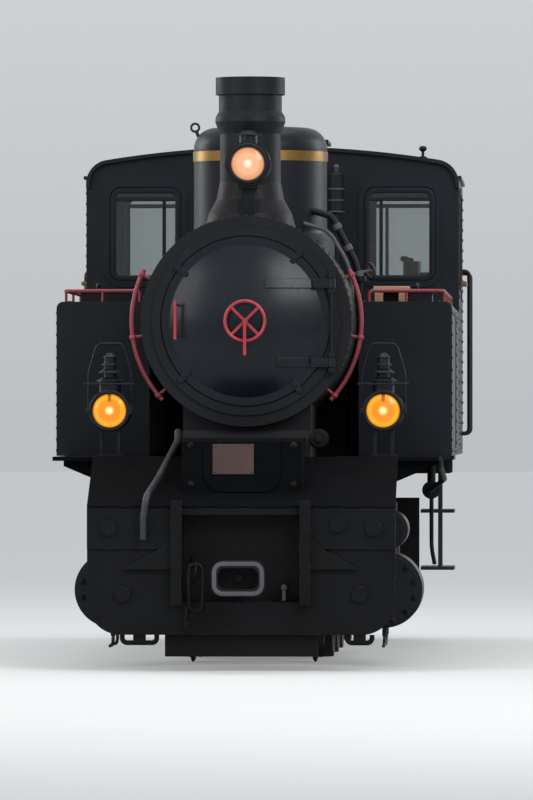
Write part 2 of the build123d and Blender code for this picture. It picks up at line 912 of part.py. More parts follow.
# Sloped apron from the beam up to the footplate, and the boxed nose that stands on its middle
apron_back = footplate_front
apron_lip = 16
apron_foot = 120
apron_thick = 40
apron_level = 70
nose_half = 340
nose_face = beam_face - recess_deep
nose_top = 1310
nose_bevel = (40, 20)
panel_half = 215
panel_z = (1004, 1286)
panel_round = 110
panel_thick = 12
with BuildPart() as front_apron:
    with BuildSketch(Plane.YZ) as slope:
        with BuildLine():
            Polyline(
                (-beam_face + 2, beam_top),
                (-beam_face + beam_thick, beam_top),
                (-beam_face + beam_thick, frame_top),
                (-beam_face + apron_foot, frame_top),
                (apron_back, footplate_z[1] - apron_thick),
                (apron_back, footplate_z[1]),
                (apron_back - apron_level, footplate_z[1]),
                (-beam_face + 2, beam_top + apron_lip),
                close=True,
            )
        make_face()
    extrude(slope.sketch, amount=beam_half_width, both=True)
    # How high the apron's sheet lies under the nose's front
    rise = (footplate_z[1] - beam_top - apron_lip) / (apron_back - apron_level + beam_face - 2)
    nose_low = beam_top + apron_lip + (beam_face - 2 - nose_face) * rise
    with BuildSketch(Plane.YZ) as nose:
        with BuildLine():
            Polyline(
                (-nose_face, nose_low - apron_lip / 2),
                (-nose_face, nose_top - nose_bevel[1]),
                (-nose_face + nose_bevel[0], nose_top),
                (apron_back, nose_top),
                (apron_back, footplate_z[1] - apron_thick / 2),
                close=True,
            )
        make_face()
    extrude(nose.sketch, amount=nose_half, both=True)
    with BuildSketch(Plane.XZ.offset(nose_face)) as panel:
        with Locations((0, (panel_z[0] + panel_z[1]) / 2)):
            Rectangle(2 * panel_half, panel_z[1] - panel_z[0])
        fillet(panel.vertices().group_by(Axis.Y)[0], panel_round)
    extrude(panel.sketch, amount=panel_thick)
save(front_apron, "front_apron")

# Footplate along both sides, with brackets down to the frames
footplate_brackets = (-2900, -1760, -1215, -265, 680, 1180)
bracket_back = 60
bracket_edge = 30
with BuildPart() as footplate:
    for side, sign in sides:
        block(
            (sign * frame_in, sign * footplate_out),
            (footplate_front, cab_front_y),
            footplate_z,
        )
        for y in footplate_brackets:
            with BuildSketch(Plane.XZ.offset(-y)) as web:
                with BuildLine():
                    Polyline(
                        (sign * frame_in, frame_top),
                        (sign * frame_out, frame_top),
                        (sign * (footplate_out - bracket_back), footplate_z[0] - bracket_edge),
                        (sign * (footplate_out - bracket_back), footplate_z[0]),
                        (sign * frame_in, footplate_z[0]),
                        close=True,
                    )
                make_face()
            extrude(web.sketch, amount=bracket_thick)
save(footplate, "footplate")

# Saddle under the smokebox
saddle_half = 365
saddle_y = (-2800, -1780)
saddle_foot_y = -2960
saddle_lip_y = -2840
saddle_drop = 20
saddle_wrap = 430
saddle_ear_thick = 30
saddle_ear_inset = 40
with BuildPart() as saddle:
    block((-saddle_half, saddle_half), saddle_y, (frame_top, boiler_axis_z - saddle_wrap))
    with BuildSketch(Plane.YZ) as foot:
        with BuildLine():
            Polyline(
                (saddle_foot_y, frame_top),
                (saddle_y[0], frame_top),
                (saddle_y[0], boiler_axis_z - smokebox_r - saddle_drop),
                (saddle_lip_y, boiler_axis_z - smokebox_r - saddle_drop),
                close=True,
            )
        make_face()
    extrude(foot.sketch, amount=saddle_half, both=True)
    for sign in (-1, 1):
        block(
            (sign * saddle_half, sign * frame_out),
            (saddle_y[0] + saddle_ear_inset, saddle_y[1] - saddle_ear_inset),
            (frame_top, frame_top + saddle_ear_thick),
        )
    round_y(smokebox_r, 0, (saddle_foot_y, smokebox_back), boiler_axis_z, mode=Mode.SUBTRACT)
save(saddle, "saddle")

# Smokebox: hollow drum, front ring, door hinge pin and lugs
with BuildPart() as smokebox:
    round_y(smokebox_r, 0, (smokebox_front, smokebox_back), boiler_axis_z)
    round_y(
        smokebox_r - smokebox_wall,
        0,
        (smokebox_front - 5, smokebox_back - 30),
        boiler_axis_z,
        mode=Mode.SUBTRACT,
    )
    round_y(smokebox_r, 0, (ring_face, smokebox_front), boiler_axis_z)
    round_y(cover_ring_r, 0, (ring_face - cover_ring_thick, ring_face), boiler_axis_z)
    round_y(
        door_r + 8,
        0,
        (ring_face - cover_ring_thick - 5, ring_face),
        boiler_axis_z,
        mode=Mode.SUBTRACT,
    )
    round_y(door_opening_r, 0, (ring_face - 40, smokebox_front + 10), boiler_axis_z, mode=Mode.SUBTRACT)
    round_z(
        chimney_bore_r,
        0,
        chimney_y,
        (boiler_axis_z + smokebox_r - 80, boiler_axis_z + smokebox_r + 20),
        mode=Mode.SUBTRACT,
    )
    pin_past = lug_gap + lug_high + 8
    pin_low = strap_heights[1] - strap_high / 2 - pin_past
    pin_high = strap_heights[0] + strap_high / 2 + pin_past
    round_z(hinge_pin_r, hinge_x, hinge_y, (pin_low, pin_high))
    for z in strap_heights:
        for end in (-1, 1):
            lug_z = z + end * (strap_high / 2 + lug_gap + lug_high / 2)
            block(
                (hinge_x - lug_half, hinge_x + lug_half),
                (hinge_y - lug_half, ring_face + 2),
                (lug_z - lug_high / 2, lug_z + lug_high / 2),
            )
save(smokebox, "smokebox")

# Smokebox door: dished plate with two hinge straps and a ring of dogs' feet
dish_r = door_r - 45
dish_sphere_r = (dish_r**2 + door_bulge**2) / (2 * door_bulge)
dish_angle = asin(dish_r / dish_sphere_r)
dish_centre = door_face - door_bulge + dish_sphere_r


def dish_outline(grow):
    """Half section of the dished door, in x and y, grown outwards."""
    with BuildSketch(Plane.XY.offset(boiler_axis_z)) as half:
        with BuildLine():
            rim_y = door_face - grow
            half_way_x = dish_sphere_r * sin(dish_angle / 2)
            half_way_y = dish_centre - grow - dish_sphere_r * cos(dish_angle / 2)
            Polyline((0, door_back), (door_r, door_back), (door_r, rim_y), (dish_r, rim_y))
            ThreePointArc((dish_r, rim_y), (half_way_x, half_way_y), (0, rim_y - door_bulge))
            Line((0, rim_y - door_bulge), (0, door_back))
        make_face()
    return half.sketch


with BuildPart() as dish:
    revolve(dish_outline(0), axis=Axis((0, 0, boiler_axis_z), (0, 1, 0)))

with BuildPart() as straps:
    revolve(dish_outline(strap_proud), axis=Axis((0, 0, boiler_axis_z), (0, 1, 0)))
    with BuildSketch(Plane.XZ) as strap_view:
        for z, inner in zip(strap_heights, strap_inner_x):
            with Locations(((inner + door_r) / 2, z)):
                Rectangle(door_r - inner, strap_high)
    extrude(strap_view.sketch, amount=5000, mode=Mode.INTERSECT)

with BuildPart() as smokebox_door:
    add(dish.part)
    add(straps.part)
    for z in strap_heights:
        edge_x = sqrt(door_r**2 - (abs(z - boiler_axis_z) + strap_high / 2) ** 2)
        block(
            (edge_x - 30, hinge_x),
            (hinge_y - 8, hinge_y + 8),
            (z - strap_high / 2, z + strap_high / 2),
        )
        block(
            (edge_x - 30, edge_x - 6),
            (hinge_y - 8, door_face + 2),
            (z - strap_high / 2, z + strap_high / 2),
        )
        round_z(hinge_knuckle_r, hinge_x, hinge_y, (z - strap_high / 2, z + strap_high / 2))
        round_z(
            hinge_pin_r + pin_clear,
            hinge_x,
            hinge_y,
            (z - strap_high, z + strap_high),
            mode=Mode.SUBTRACT,
        )
    # Dogs on the door's rim, their tips just clear of the cover ring
    dog_back = ring_face - cover_ring_thick - dog_clear
    for angle in dog_angles:
        with BuildSketch(Plane.XZ.offset(-dog_back)) as dog:
            with Locations(Location((0, boiler_axis_z, 0), (0, 0, angle))):
                with Locations(((dog_r[0] + dog_r[1]) / 2, 0)):
                    SlotOverall(dog_r[1] - dog_r[0], dog_wide)
        extrude(dog.sketch, amount=dog_thick)
        stud_r = door_r - 2 * dog_wide / 3
        round_y(
            dog_wide / 3,
            stud_r * cos(radians(angle)),
            (dog_back - dog_thick - dog_wide / 3, door_face + 1),
            boiler_axis_z + stud_r * sin(radians(angle)),
        )
save(smokebox_door, "smokebox_door")

# Handwheel, its lever and the door's grab handle, red painted
wheel_y = door_face - door_bulge - handwheel_stand_off
with BuildPart() as door_handwheel:
    with Locations((0, wheel_y, boiler_axis_z)):
        Torus(handwheel_r, handwheel_rim_r, rotation=(90, 0, 0))
    round_y(handwheel_hub_r, 0, (wheel_y - 18, door_face - door_bulge + 5), boiler_axis_z)
    for turn in (45, 135):
        with BuildSketch(Plane.XZ.offset(-wheel_y - handwheel_spoke[1] / 2)) as spoke:
            with Locations(Location((0, boiler_axis_z, 0), (0, 0, turn))):
                Rectangle(2 * handwheel_r, handwheel_spoke[0])
        extrude(spoke.sketch, amount=handwheel_spoke[1])
    block(
        (-lever_half, lever_half),
        (wheel_y - 30, wheel_y - 16),
        (boiler_axis_z - lever_long, boiler_axis_z + handwheel_hub_r),
    )
    grab_y = door_face - grab_stand_off
    for z in grab_z:
        round_y(grab_foot_r, grab_x, (grab_y, door_face), boiler_axis_z + z)
    grab_reach = (boiler_axis_z + grab_z[0] - grab_past, boiler_axis_z + grab_z[1] + grab_past)
    round_z(grab_r, grab_x, grab_y, grab_reach)
    add(dish.part, mode=Mode.SUBTRACT)
save(door_handwheel, "door_handwheel")

# Curved handrails round the smokebox, each on radial stanchions
rail_r = 655
rail_y = smokebox_front + 45
rail_thick_r = 13
rail_angles = (27, -43)
rail_posts = (24, -8, -40)
rail_post_r = 9
rail_ball_r = 20
with BuildPart() as smokebox_handrails:
    for side, sign in sides:
        with BuildLine(Plane.XZ.offset(-rail_y)) as arc:
            start, stop = (radians(angle) for angle in rail_angles)
            ThreePointArc(
                (sign * rail_r * cos(start), boiler_axis_z + rail_r * sin(start)),
                (sign * rail_r * cos((start + stop) / 2), boiler_axis_z + rail_r * sin((start + stop) / 2)),
                (sign * rail_r * cos(stop), boiler_axis_z + rail_r * sin(stop)),
            )
        path = arc.wires()[0]
        with BuildSketch(Plane(origin=path @ 0, z_dir=path % 0)) as section:
            Circle(rail_thick_r)
        sweep(section.sketch, path=path)
        for turn in rail_posts:
            foot = (
                sign * (smokebox_r + 0.3) * cos(radians(turn)),
                rail_y,
                boiler_axis_z + (smokebox_r + 0.3) * sin(radians(turn)),
            )
            head = (
                sign * rail_r * cos(radians(turn)),
                rail_y,
                boiler_axis_z + rail_r * sin(radians(turn)),
            )
            tube(rail_post_r, (foot, head), 0)
            with Locations(head):
                Sphere(rail_ball_r)
save(smokebox_handrails, "smokebox_handrails")

# Boiler: barrel and firebox wrapper, one closed mass
band_wide = 50
band_thick = 5
boiler_bands = (smokebox_back + 60, -1100, -300, 500)
with BuildPart() as boiler:
    round_y(boiler_r, 0, (smokebox_back, backhead_y), boiler_axis_z)
    block((-firebox_half, firebox_half), (firebox_front, backhead_y), (firebox_low, boiler_axis_z))
    for y in boiler_bands:
        round_y(boiler_r + band_thick, 0, (y, y + band_wide), boiler_axis_z)
save(boiler, "boiler")

# Ash pan under the firebox
pan_floor = 340
pan_shoulder = 620
pan_slope = (150, 140)
pan_inset = 45
pan_flange = 60
with BuildPart() as ash_pan:
    with BuildSketch(Plane.YZ) as pan:
        with BuildLine():
            Polyline(
                (firebox_front + 10, firebox_low),
                (firebox_front + 10, pan_shoulder),
                (firebox_front + 10 + pan_slope[0], pan_floor),
                (backhead_y - pan_slope[1], pan_floor),
                (backhead_y, pan_shoulder),
                (backhead_y, firebox_low),
                close=True,
            )
        make_face()
    extrude(pan.sketch, amount=frame_in - pan_inset, both=True)
    block((-frame_in, frame_in), (firebox_front + 10, backhead_y), (firebox_low - pan_flange, firebox_low))
save(ash_pan, "ash_pan")

# Chimney: turned casting with a drum-shaped top and a flared foot, bored through
chimney_profile = (
    # radius, z
    (262, 2520),
    (240, 2600),
    (196, 2680),
    (chimney_neck_r + 2, 2780),
    (chimney_neck_r, 3060),
    (188, 3090),
    (203, 3130),
    (200, 3160),
    (182, 3190),
    (182, 3282),
    (200, 3286),
    (200, chimney_top),
)
with BuildPart() as chimney:
    with BuildSketch(Plane.XZ.offset(-chimney_y)) as half:
        with BuildLine():
            Polyline((0, chimney_profile[0][1]), *chimney_profile, (0, chimney_top), close=True)
        make_face()
    revolve(half.sketch, axis=Axis((0, chimney_y, 0), (0, 0, 1)))
    round_z(chimney_bore_r, 0, chimney_y, (2400, chimney_top + 10), mode=Mode.SUBTRACT)
    round_y(smokebox_r, 0, (chimney_y - 600, chimney_y + 600), boiler_axis_z, mode=Mode.SUBTRACT)
save(chimney, "chimney")

# Steam dome and its brass band
dome_sink = 160
dome_foot = boiler_axis_z + boiler_r - dome_sink
with BuildPart() as steam_dome:
    with BuildSketch(Plane.XZ.offset(-dome_y)) as half:
        with BuildLine():
            Polyline(
                (0, dome_foot),
                (dome_r + dome_flare, dome_foot),
                (dome_r + dome_flare, dome_flare_z - dome_flare),
                (dome_r, dome_flare_z),
                (dome_r, dome_top - dome_crown),
                (0, dome_top),
                close=True,
            )
        make_face()
        fillet(half.vertices().sort_by_distance((dome_r, dome_top - dome_crown))[0], dome_corner_r)
        fillet(half.vertices().sort_by_distance((dome_r, dome_flare_z))[0], dome_flare)
    revolve(half.sketch, axis=Axis((0, dome_y, 0), (0, 0, 1)))
    round_y(boiler_r, 0, (dome_y - 600, dome_y + 600), boiler_axis_z, mode=Mode.SUBTRACT)
    for y in boiler_bands:
        round_y(boiler_r + band_thick, 0, (y, y + band_wide), boiler_axis_z, mode=Mode.SUBTRACT)
save(steam_dome, "steam_dome")

with BuildPart() as dome_band:
    round_z(dome_r + dome_band_thick, 0, dome_y, (dome_band_low, dome_band_top))
    round_z(dome_r, 0, dome_y, (dome_band_low - 5, dome_band_top + 5), mode=Mode.SUBTRACT)
save(dome_band, "dome_band")

# Headlamp on the chimney's front, with its cap and bracket
lamp_front = chimney_y - chimney_neck_r - headlamp_back - headlamp_deep
with BuildPart() as headlamp:
    round_y(headlamp_r, 0, (lamp_front, lamp_front + headlamp_deep), headlamp_z)
    round_y(
        headlamp_lens_r,
        0,
        (lamp_front - 5, lamp_front + headlamp_lens_deep),
        headlamp_z,
        mode=Mode.SUBTRACT,
    )
    vent_y = lamp_front + headlamp_vent_y
    crown = headlamp_z + headlamp_r
    round_z(headlamp_vent_r, 0, vent_y, (crown - 12, crown + 40))
    with Locations((0, vent_y, crown + 52)):
        Cone(*headlamp_cap)
    block(
        (-headlamp_arm_half[0], headlamp_arm_half[0]),
        (lamp_front + headlamp_deep - 2, chimney_y - 150),
        (headlamp_z - headlamp_arm_half[1], headlamp_z + headlamp_arm_half[1]),
    )
    round_z(chimney_neck_r + 2.3, 0, chimney_y, (headlamp_z - 100, headlamp_z + 100), mode=Mode.SUBTRACT)
    sill = headlamp_z - headlamp_r
    block(
        (-headlamp_shelf_half, headlamp_shelf_half),
        (lamp_front + 20, lamp_front + headlamp_deep - 20),
        (sill - 12, sill + 14),
    )
    block(
        (-headlamp_leg_half, headlamp_leg_half),
        (lamp_front + 70, lamp_front + 100),
        (headlamp_foot_z, sill - 10),
    )
    round_y(smokebox_r + 0.3, 0, (lamp_front - 100, lamp_front + 400), boiler_axis_z, mode=Mode.SUBTRACT)
save(headlamp, "headlamp")

# Front and rear lamps, each on a forked bracket
rear_lamp_x = 700
rear_lamp_reach = 190
rear_shelf_z = (1160, 1180)
rear_shelf_half = 90
rear_shelf_long = 160


def lamp_body(x, face_y, toward, z, foot_z):
    """Lamp with a tiered vent cap, on two legs; toward is the way that it faces along Y."""
    back = face_y - toward * lamp_deep
    round_y(lamp_body_r, x, (back, face_y), z)
    round_y(lamp_lens_r, x, (face_y + toward * 5, face_y - toward * lamp_lens_deep), z, mode=Mode.SUBTRACT)
    middle = face_y - toward * lamp_deep / 2
    crown = z + lamp_body_r
    round_z(lamp_neck_r, x, middle, (crown - 16, crown + lamp_vents[0][0]))
    for rise, wide in lamp_vents:
        with Locations((x, middle, crown + rise + 12)):
            Cone(wide, wide * 0.55, 24)
        round_z(lamp_vent_r, x, middle, (crown + rise - 2, crown + rise + 48))
    with Locations((x, middle, crown + lamp_top_rise)):
        Cone(42, 12, 26)
    round_z(lamp_vent_r, x, middle, (crown + lamp_top_rise - 15, crown + lamp_top_rise - 10))
    for offset in (-lamp_leg_x, lamp_leg_x):
        block(
            (x + offset - lamp_leg_half, x + offset + lamp_leg_half),
            (middle - 25, middle + 25),
            (foot_z, z - lamp_body_r + 16),
        )
    block(
        (x - lamp_foot_half, x + lamp_foot_half),
        (middle - 40, middle + 40),
        (foot_z, foot_z + lamp_foot_thick),
    )


with BuildPart() as front_lamps:
    for sign in (-1, 1):
        lamp_body(sign * lamp_x, lamp_y, -1, lamp_z, tank_bottom)
save(front_lamps, "front_lamps")

with BuildPart() as rear_lamps:
    for sign in (-1, 1):
        lamp_body(sign * rear_lamp_x, bunker_back + rear_lamp_reach, 1, lamp_z, rear_shelf_z[1])
        block(
            (sign * rear_lamp_x - rear_shelf_half, sign * rear_lamp_x + rear_shelf_half),
            (bunker_back, bunker_back + rear_shelf_long),
            rear_shelf_z,
        )
save(rear_lamps, "rear_lamps")

# Side tanks, each with a filler collar on top
for side, sign in sides:
    with BuildPart() as tank:
        block((sign * tank_in, sign * body_half_width), (tank_front, cab_front_y), (tank_bottom, tank_top))
        outer = tank.edges().filter_by(Axis.Y).sort_by(Axis.X)
        outer = [edge for edge in outer if sign * edge.center().X > body_half_width - 5]
        fillet([edge for edge in outer if edge.center().Z > tank_top - 5], tank_corner_r)
        middle_x = sign * (tank_in + body_half_width) / 2
        block(
            (middle_x - lid_wide / 2, middle_x + lid_wide / 2),
            (lid_y - lid_long / 2, lid_y + lid_long / 2),
            (tank_top, tank_top + lid_collar_high),
        )
        block(
            (middle_x - lid_wide / 2 + lid_collar_wall, middle_x + lid_wide / 2 - lid_collar_wall),
            (lid_y - lid_long / 2 + lid_collar_wall, lid_y + lid_long / 2 - lid_collar_wall),
            (tank_top - lid_well_deep, tank_top + lid_collar_high + 5),
            mode=Mode.SUBTRACT,
        )
        lid_hinge_x = middle_x - sign * (lid_wide / 2 + lid_pin_back)
        lid_hinge_z = tank_top + lid_collar_high + lid_pin_rise
        for y in (lid_y - lid_lug_y, lid_y + lid_lug_y):
            block(
                (lid_hinge_x - 10, lid_hinge_x + 10),
                (y - lid_lug_half, y + lid_lug_half),
                (tank_top, lid_hinge_z + 10),
            )
        pin_half = lid_lug_y + lid_lug_half
        round_y(lid_pin_r, lid_hinge_x, (lid_y - pin_half, lid_y + pin_half), lid_hinge_z)
    save(tank, f"side_tank_{side}")

    lid_z = tank_top + lid_collar_high + lid_clear
    with BuildPart() as lid:
        block(
            (middle_x - lid_wide / 2 - lid_lip, middle_x + lid_wide / 2 + lid_lip),
            (lid_y - lid_long / 2 - lid_lip, lid_y + lid_long / 2 + lid_lip),
            (lid_z, lid_z + lid_thick),
        )
        block(
            (lid_hinge_x - 26, lid_hinge_x + 26),
            (lid_y - lid_long, lid_y + lid_long),
            (lid_z - 10, lid_z + lid_thick + 10),
            mode=Mode.SUBTRACT,
        )
        for y in (lid_y - lid_knuckle_y, lid_y + lid_knuckle_y):
            knuckle_y = (y - lid_knuckle_half, y + lid_knuckle_half)
            round_y(lid_knuckle_r, lid_hinge_x, knuckle_y, lid_hinge_z)
            block((lid_hinge_x, lid_hinge_x + sign * 60), knuckle_y, (lid_hinge_z - 6, lid_hinge_z + 12))
            round_y(lid_pin_r + pin_clear, lid_hinge_x, (y - 30, y + 30), lid_hinge_z, mode=Mode.SUBTRACT)
        handle_x = middle_x + sign * lid_handle_x
        lid_top = lid_z + lid_thick
        tube(
            lid_handle_r,
            (
                (handle_x, lid_y - lid_handle_half, lid_top - 1),
                (handle_x, lid_y - lid_handle_half, lid_top + lid_handle_rise),
                (handle_x, lid_y + lid_handle_half, lid_top + lid_handle_rise),
                (handle_x, lid_y + lid_handle_half, lid_top - 1),
            ),
            2 * lid_handle_r,
        )
    save(lid, f"tank_lid_{side}")

# Red rails round the tanks' tops, on stanchions
tank_rail_r = 10.5
tank_rail_inset = (60, 50)
tank_rail_x = (tank_in + tank_rail_inset[0], body_half_width - tank_rail_inset[1])
tank_rail_z = 2166
tank_rail_front = tank_front + 45
tank_rail_back = cab_front_y - 70
tank_rail_posts = (-950, -220, 500)
tank_post_r = 8
with BuildPart() as tank_rails:
    for side, sign in sides:
        inner_x, outer_x = sign * tank_rail_x[0], sign * tank_rail_x[1]
        foot = tank_top + seat_gap
        tube(
            tank_rail_r,
            (
                (inner_x, tank_rail_front, foot),
                (inner_x, tank_rail_front, tank_rail_z),
                (outer_x, tank_rail_front, tank_rail_z),
                (outer_x, tank_rail_back, tank_rail_z),
                (outer_x, tank_rail_back, foot),
            ),
            2.5 * tank_rail_r,
        )
        posts = [(outer_x, y) for y in tank_rail_posts]
        posts.append(((inner_x + outer_x) / 2, tank_rail_front))
        posts.append((outer_x, tank_rail_front + 60))
        for x, y in posts:
            round_z(tank_post_r, x, y, (foot, tank_rail_z))
save(tank_rails, "tank_rails")


# Cab: front and rear plates, side panels, floor, arched roof and windows
def cab_outline(plane, shrink, low):
    """Cross-section of the cab: straight sides, rounded shoulders, arched top."""
    half = body_half_width - shrink
    with BuildSketch(plane) as outline:
        with BuildLine():
            shoulder = cab_shoulder_z - shrink
            Polyline((half, shoulder), (half, low), (-half, low), (-half, shoulder))
            ThreePointArc((-half, shoulder), (0, cab_crown_z - shrink), (half, shoulder))
        make_face()
        shoulders = [corner for corner in outline.vertices() if abs(corner.Y - cab_shoulder_z + shrink) < 1]
        fillet(shoulders, cab_corner_r - shrink)
    return outline.sketch


cab_low = cab_floor_z
with BuildPart() as cab_roof:
    roof_y = (cab_front_y - roof_overhang, cab_rear_y + roof_overhang)
    outer = cab_outline(Plane.XZ.offset(-roof_y[0]), 0, cab_low)
    extrude(outer, amount=-(roof_y[1] - roof_y[0]))
    inner = cab_outline(Plane.XZ.offset(-roof_y[0] + 10), roof_thick, cab_low - 200)
    extrude(inner, amount=-(roof_y[1] - roof_y[0] + 20), mode=Mode.SUBTRACT)
    block((-2000, 2000), (roof_y[0] - 50, roof_y[1] + 50), (cab_low - 300, roof_low), mode=Mode.SUBTRACT)
    block((-roof_vent_half, roof_vent_half), roof_vent_y, (cab_crown_z - 30, cab_crown_z + roof_vent_high))
    cap_low = cab_crown_z + roof_vent_high - 5
    block(
        (-roof_vent_half - 70, roof_vent_half + 70),
        (roof_vent_y[0] - roof_vent_lip, roof_vent_y[1] + roof_vent_lip),
        (cap_low, cap_low + roof_vent_cap),
    )
    extrude(inner, amount=-(roof_y[1] - roof_y[0] + 20), mode=Mode.SUBTRACT)
    for sign in (-1, 1):
        block((sign * (body_half_width - 5), sign * (body_half_width + gutter_proud)), roof_y, gutter_z)
save(cab_roof, "cab_roof")

wall_half = body_half_width - cab_wall
window_middle = (window_in + window_out) / 2
window_size = (window_wide, window_top - window_low)
for name, y, boiler_hole in (("cab_front", cab_front_y, True), ("cab_rear", cab_rear_y - cab_wall, False)):
    with BuildPart() as wall_plate:
        sheet = cab_outline(Plane.XZ.offset(-y), roof_thick, cab_low)
        extrude(sheet, amount=-cab_wall)
        for sign in (-1, 1):
            block(
                (sign * wall_half, sign * 2000),
                (y - 50, y + cab_wall + 50),
                (cab_low - 50, roof_low),
                mode=Mode.SUBTRACT,
            )
        with BuildSketch(Plane.XZ.offset(-y)) as windows:
            with Locations(
                (-window_middle, (window_low + window_top) / 2),
                (window_middle, (window_low + window_top) / 2),
            ):
                RectangleRounded(window_size[0], window_size[1], window_corner_r)
        extrude(windows.sketch, amount=-cab_wall, mode=Mode.SUBTRACT)
        if boiler_hole:
            with BuildSketch(Plane.XZ.offset(-y)) as surrounds:
                with Locations(
                    (-window_middle, (window_low + window_top) / 2),
                    (window_middle, (window_low + window_top) / 2),
                ):
                    RectangleRounded(
                        window_size[0] + 2 * surround_wide,
                        window_size[1] + 2 * surround_wide,
                        window_corner_r + surround_wide,
                    )
                    RectangleRounded(window_size[0], window_size[1], window_corner_r, mode=Mode.SUBTRACT)
            extrude(surrounds.sketch, amount=surround_proud)
            round_y(boiler_r, 0, (y - 20, y + cab_wall + 20), boiler_axis_z, mode=Mode.SUBTRACT)
            block(
                (-firebox_half, firebox_half),
                (y - 20, y + cab_wall + 20),
                (cab_low - 20, boiler_axis_z),
                mode=Mode.SUBTRACT,
            )
    save(wall_plate, name)

with BuildPart() as cab_windows:
    for y in (cab_front_y, cab_rear_y - cab_wall):
        with BuildSketch(Plane.XZ.offset(-y - cab_wall / 2)) as panes:
            with Locations(
                (-window_middle, (window_low + window_top) / 2),
                (window_middle, (window_low + window_top) / 2),
            ):
                RectangleRounded(window_size[0], window_size[1], window_corner_r)
        extrude(panes.sketch, amount=glass_thick)
save(cab_windows, "cab_windows")

for side, sign in sides:
    with BuildPart() as cab_side:
        with BuildSketch(Plane.YZ.offset(sign * wall_half)) as panel:
            with Locations(((cab_front_y + cab_rear_y) / 2, (cab_low + roof_low) / 2)):
                Rectangle(cab_rear_y - cab_front_y, roof_low - cab_low)
            pane_y = (side_window_y[0] + side_window_y[1]) / 2
            pane_z = (side_window_z[0] + side_window_z[1]) / 2
            with Locations((pane_y, pane_z)):
                RectangleRounded(
                    side_window_y[1] - side_window_y[0],
                    side_window_z[1] - side_window_z[0],
                    window_corner_r,
                    mode=Mode.SUBTRACT,
                )
            with Locations(((door_y[0] + door_y[1]) / 2, (cab_low + side_window_z[1]) / 2)):
                Rectangle(door_y[1] - door_y[0], side_window_z[1] - cab_low + 1, mode=Mode.SUBTRACT)
        extrude(panel.sketch, amount=sign * cab_wall)
        hinge_pin_x = sign * (wall_half - door_knuckle_r)
        hinge_pin_y = door_y[1] + 4
        for z in (cab_low + door_hinge_rise, door_top - door_hinge_rise):
            for step in (-1, 1):
                block(
                    (sign * (wall_half - 26), sign * wall_half),
                    (door_y[1] - 8, door_y[1] + 40),
                    (z + step * 34 - 12, z + step * 34 + 12),
                )
            round_z(door_hinge_pin_r, hinge_pin_x, hinge_pin_y, (z - 46, z + 46))
        for y in (door_y[0] - grab_rail_gap, door_y[1] + grab_rail_gap):
            tube(
                grab_rail_r,
                (
                    (sign * (body_half_width - 2), y, grab_rail_z[0]),
                    (sign * (body_half_width + grab_rail_reach), y, grab_rail_z[0]),
                    (sign * (body_half_width + grab_rail_reach), y, grab_rail_z[1]),
                    (sign * (body_half_width - 2), y, grab_rail_z[1]),
                ),
                30,
            )
    save(cab_side, f"cab_side_{side}")

    with BuildPart() as cab_door:
        block(
            (sign * (wall_half + 2), sign * (wall_half + 2 + door_thick)),
            (door_y[0] + door_gap, door_y[1] - door_gap),
            (cab_low + door_gap, door_top),
        )
        for z in (cab_low + door_hinge_rise, door_top - door_hinge_rise):
            knuckle_z = (z - door_knuckle_half, z + door_knuckle_half)
            leaf_x = (sign * (wall_half - 20), sign * (wall_half + 4))
            tongue_x = (sign * (wall_half - 20), sign * (wall_half - 8))
            block(leaf_x, (door_y[1] - 60, door_y[1] - 14), knuckle_z)
            block(tongue_x, (door_y[1] - 60, hinge_pin_y), knuckle_z)
            round_z(door_knuckle_r, hinge_pin_x, hinge_pin_y, knuckle_z)
            bore_z = (z - 30, z + 30)
            round_z(door_hinge_pin_r + pin_clear, hinge_pin_x, hinge_pin_y, bore_z, mode=Mode.SUBTRACT)
    save(cab_door, f"cab_door_{side}")

floor_brackets = (1500, 2000, 2600)
floor_bracket_high = 120
with BuildPart() as cab_floor:
    block((-body_half_width, body_half_width), (cab_front_y, cab_rear_y), (tank_bottom, cab_floor_z))
    block(
        (-firebox_half, firebox_half),
        (cab_front_y - 10, backhead_y),
        (tank_bottom - 10, cab_floor_z + 10),
        mode=Mode.SUBTRACT,
    )
    for side, sign in sides:
        block((sign * frame_in, sign * frame_out), (cab_front_y + 20, cab_rear_y), (frame_top, tank_bottom))
        for y in floor_brackets:
            block(
                (sign * frame_in, sign * (body_half_width - bracket_back)),
                (y, y + bracket_thick),
                (tank_bottom - floor_bracket_high, tank_bottom),
            )
save(cab_floor, "cab_floor")

# Backhead: the boiler's rear plate with its fire door, regulator, gauge glasses and dials
backhead_thick = 30
backhead_inset = 12
fire_door_r = 190
fire_door_z = 1660
regulator_z = 2280
regulator_r = 60
gauge_x = 230
gauge_z = (1990, 2250)
gauge_r = 16
dial_r = 62
dial_table = (
    # x, z
    (-150, 2380),
    (0, 2440),
    (150, 2380),
)
backhead_face = backhead_y + backhead_thick
with BuildPart() as backhead:
    with BuildSketch(Plane.XZ.offset(-backhead_y)) as plate:
        with Locations((0, boiler_axis_z)):
            Circle(boiler_r - backhead_inset)
        with Locations((0, (cab_floor_z + boiler_axis_z) / 2)):
            Rectangle(2 * (firebox_half - backhead_inset), boiler_axis_z - cab_floor_z)
    extrude(plate.sketch, amount=-backhead_thick)
    round_y(fire_door_r, 0, (backhead_face - 1, backhead_face + 32), fire_door_z)
    round_y(regulator_r, 0, (backhead_face - 1, backhead_face + 80), regulator_z)
    block((-12, 12), (backhead_face + 62, backhead_face + 78), (regulator_z - 260, regulator_z + 20))
    for x in (-gauge_x, gauge_x):
        round_z(gauge_r, x, backhead_face + 40, (gauge_z[0] - 10, gauge_z[1] + 10))
        for z in gauge_z:
            round_y(gauge_r + 6, x, (backhead_face - 1, backhead_face + 60), z)
    for x, z in dial_table:
        round_y(dial_r, x, (backhead_face - 1, backhead_face + 50), z)
save(backhead, "backhead")

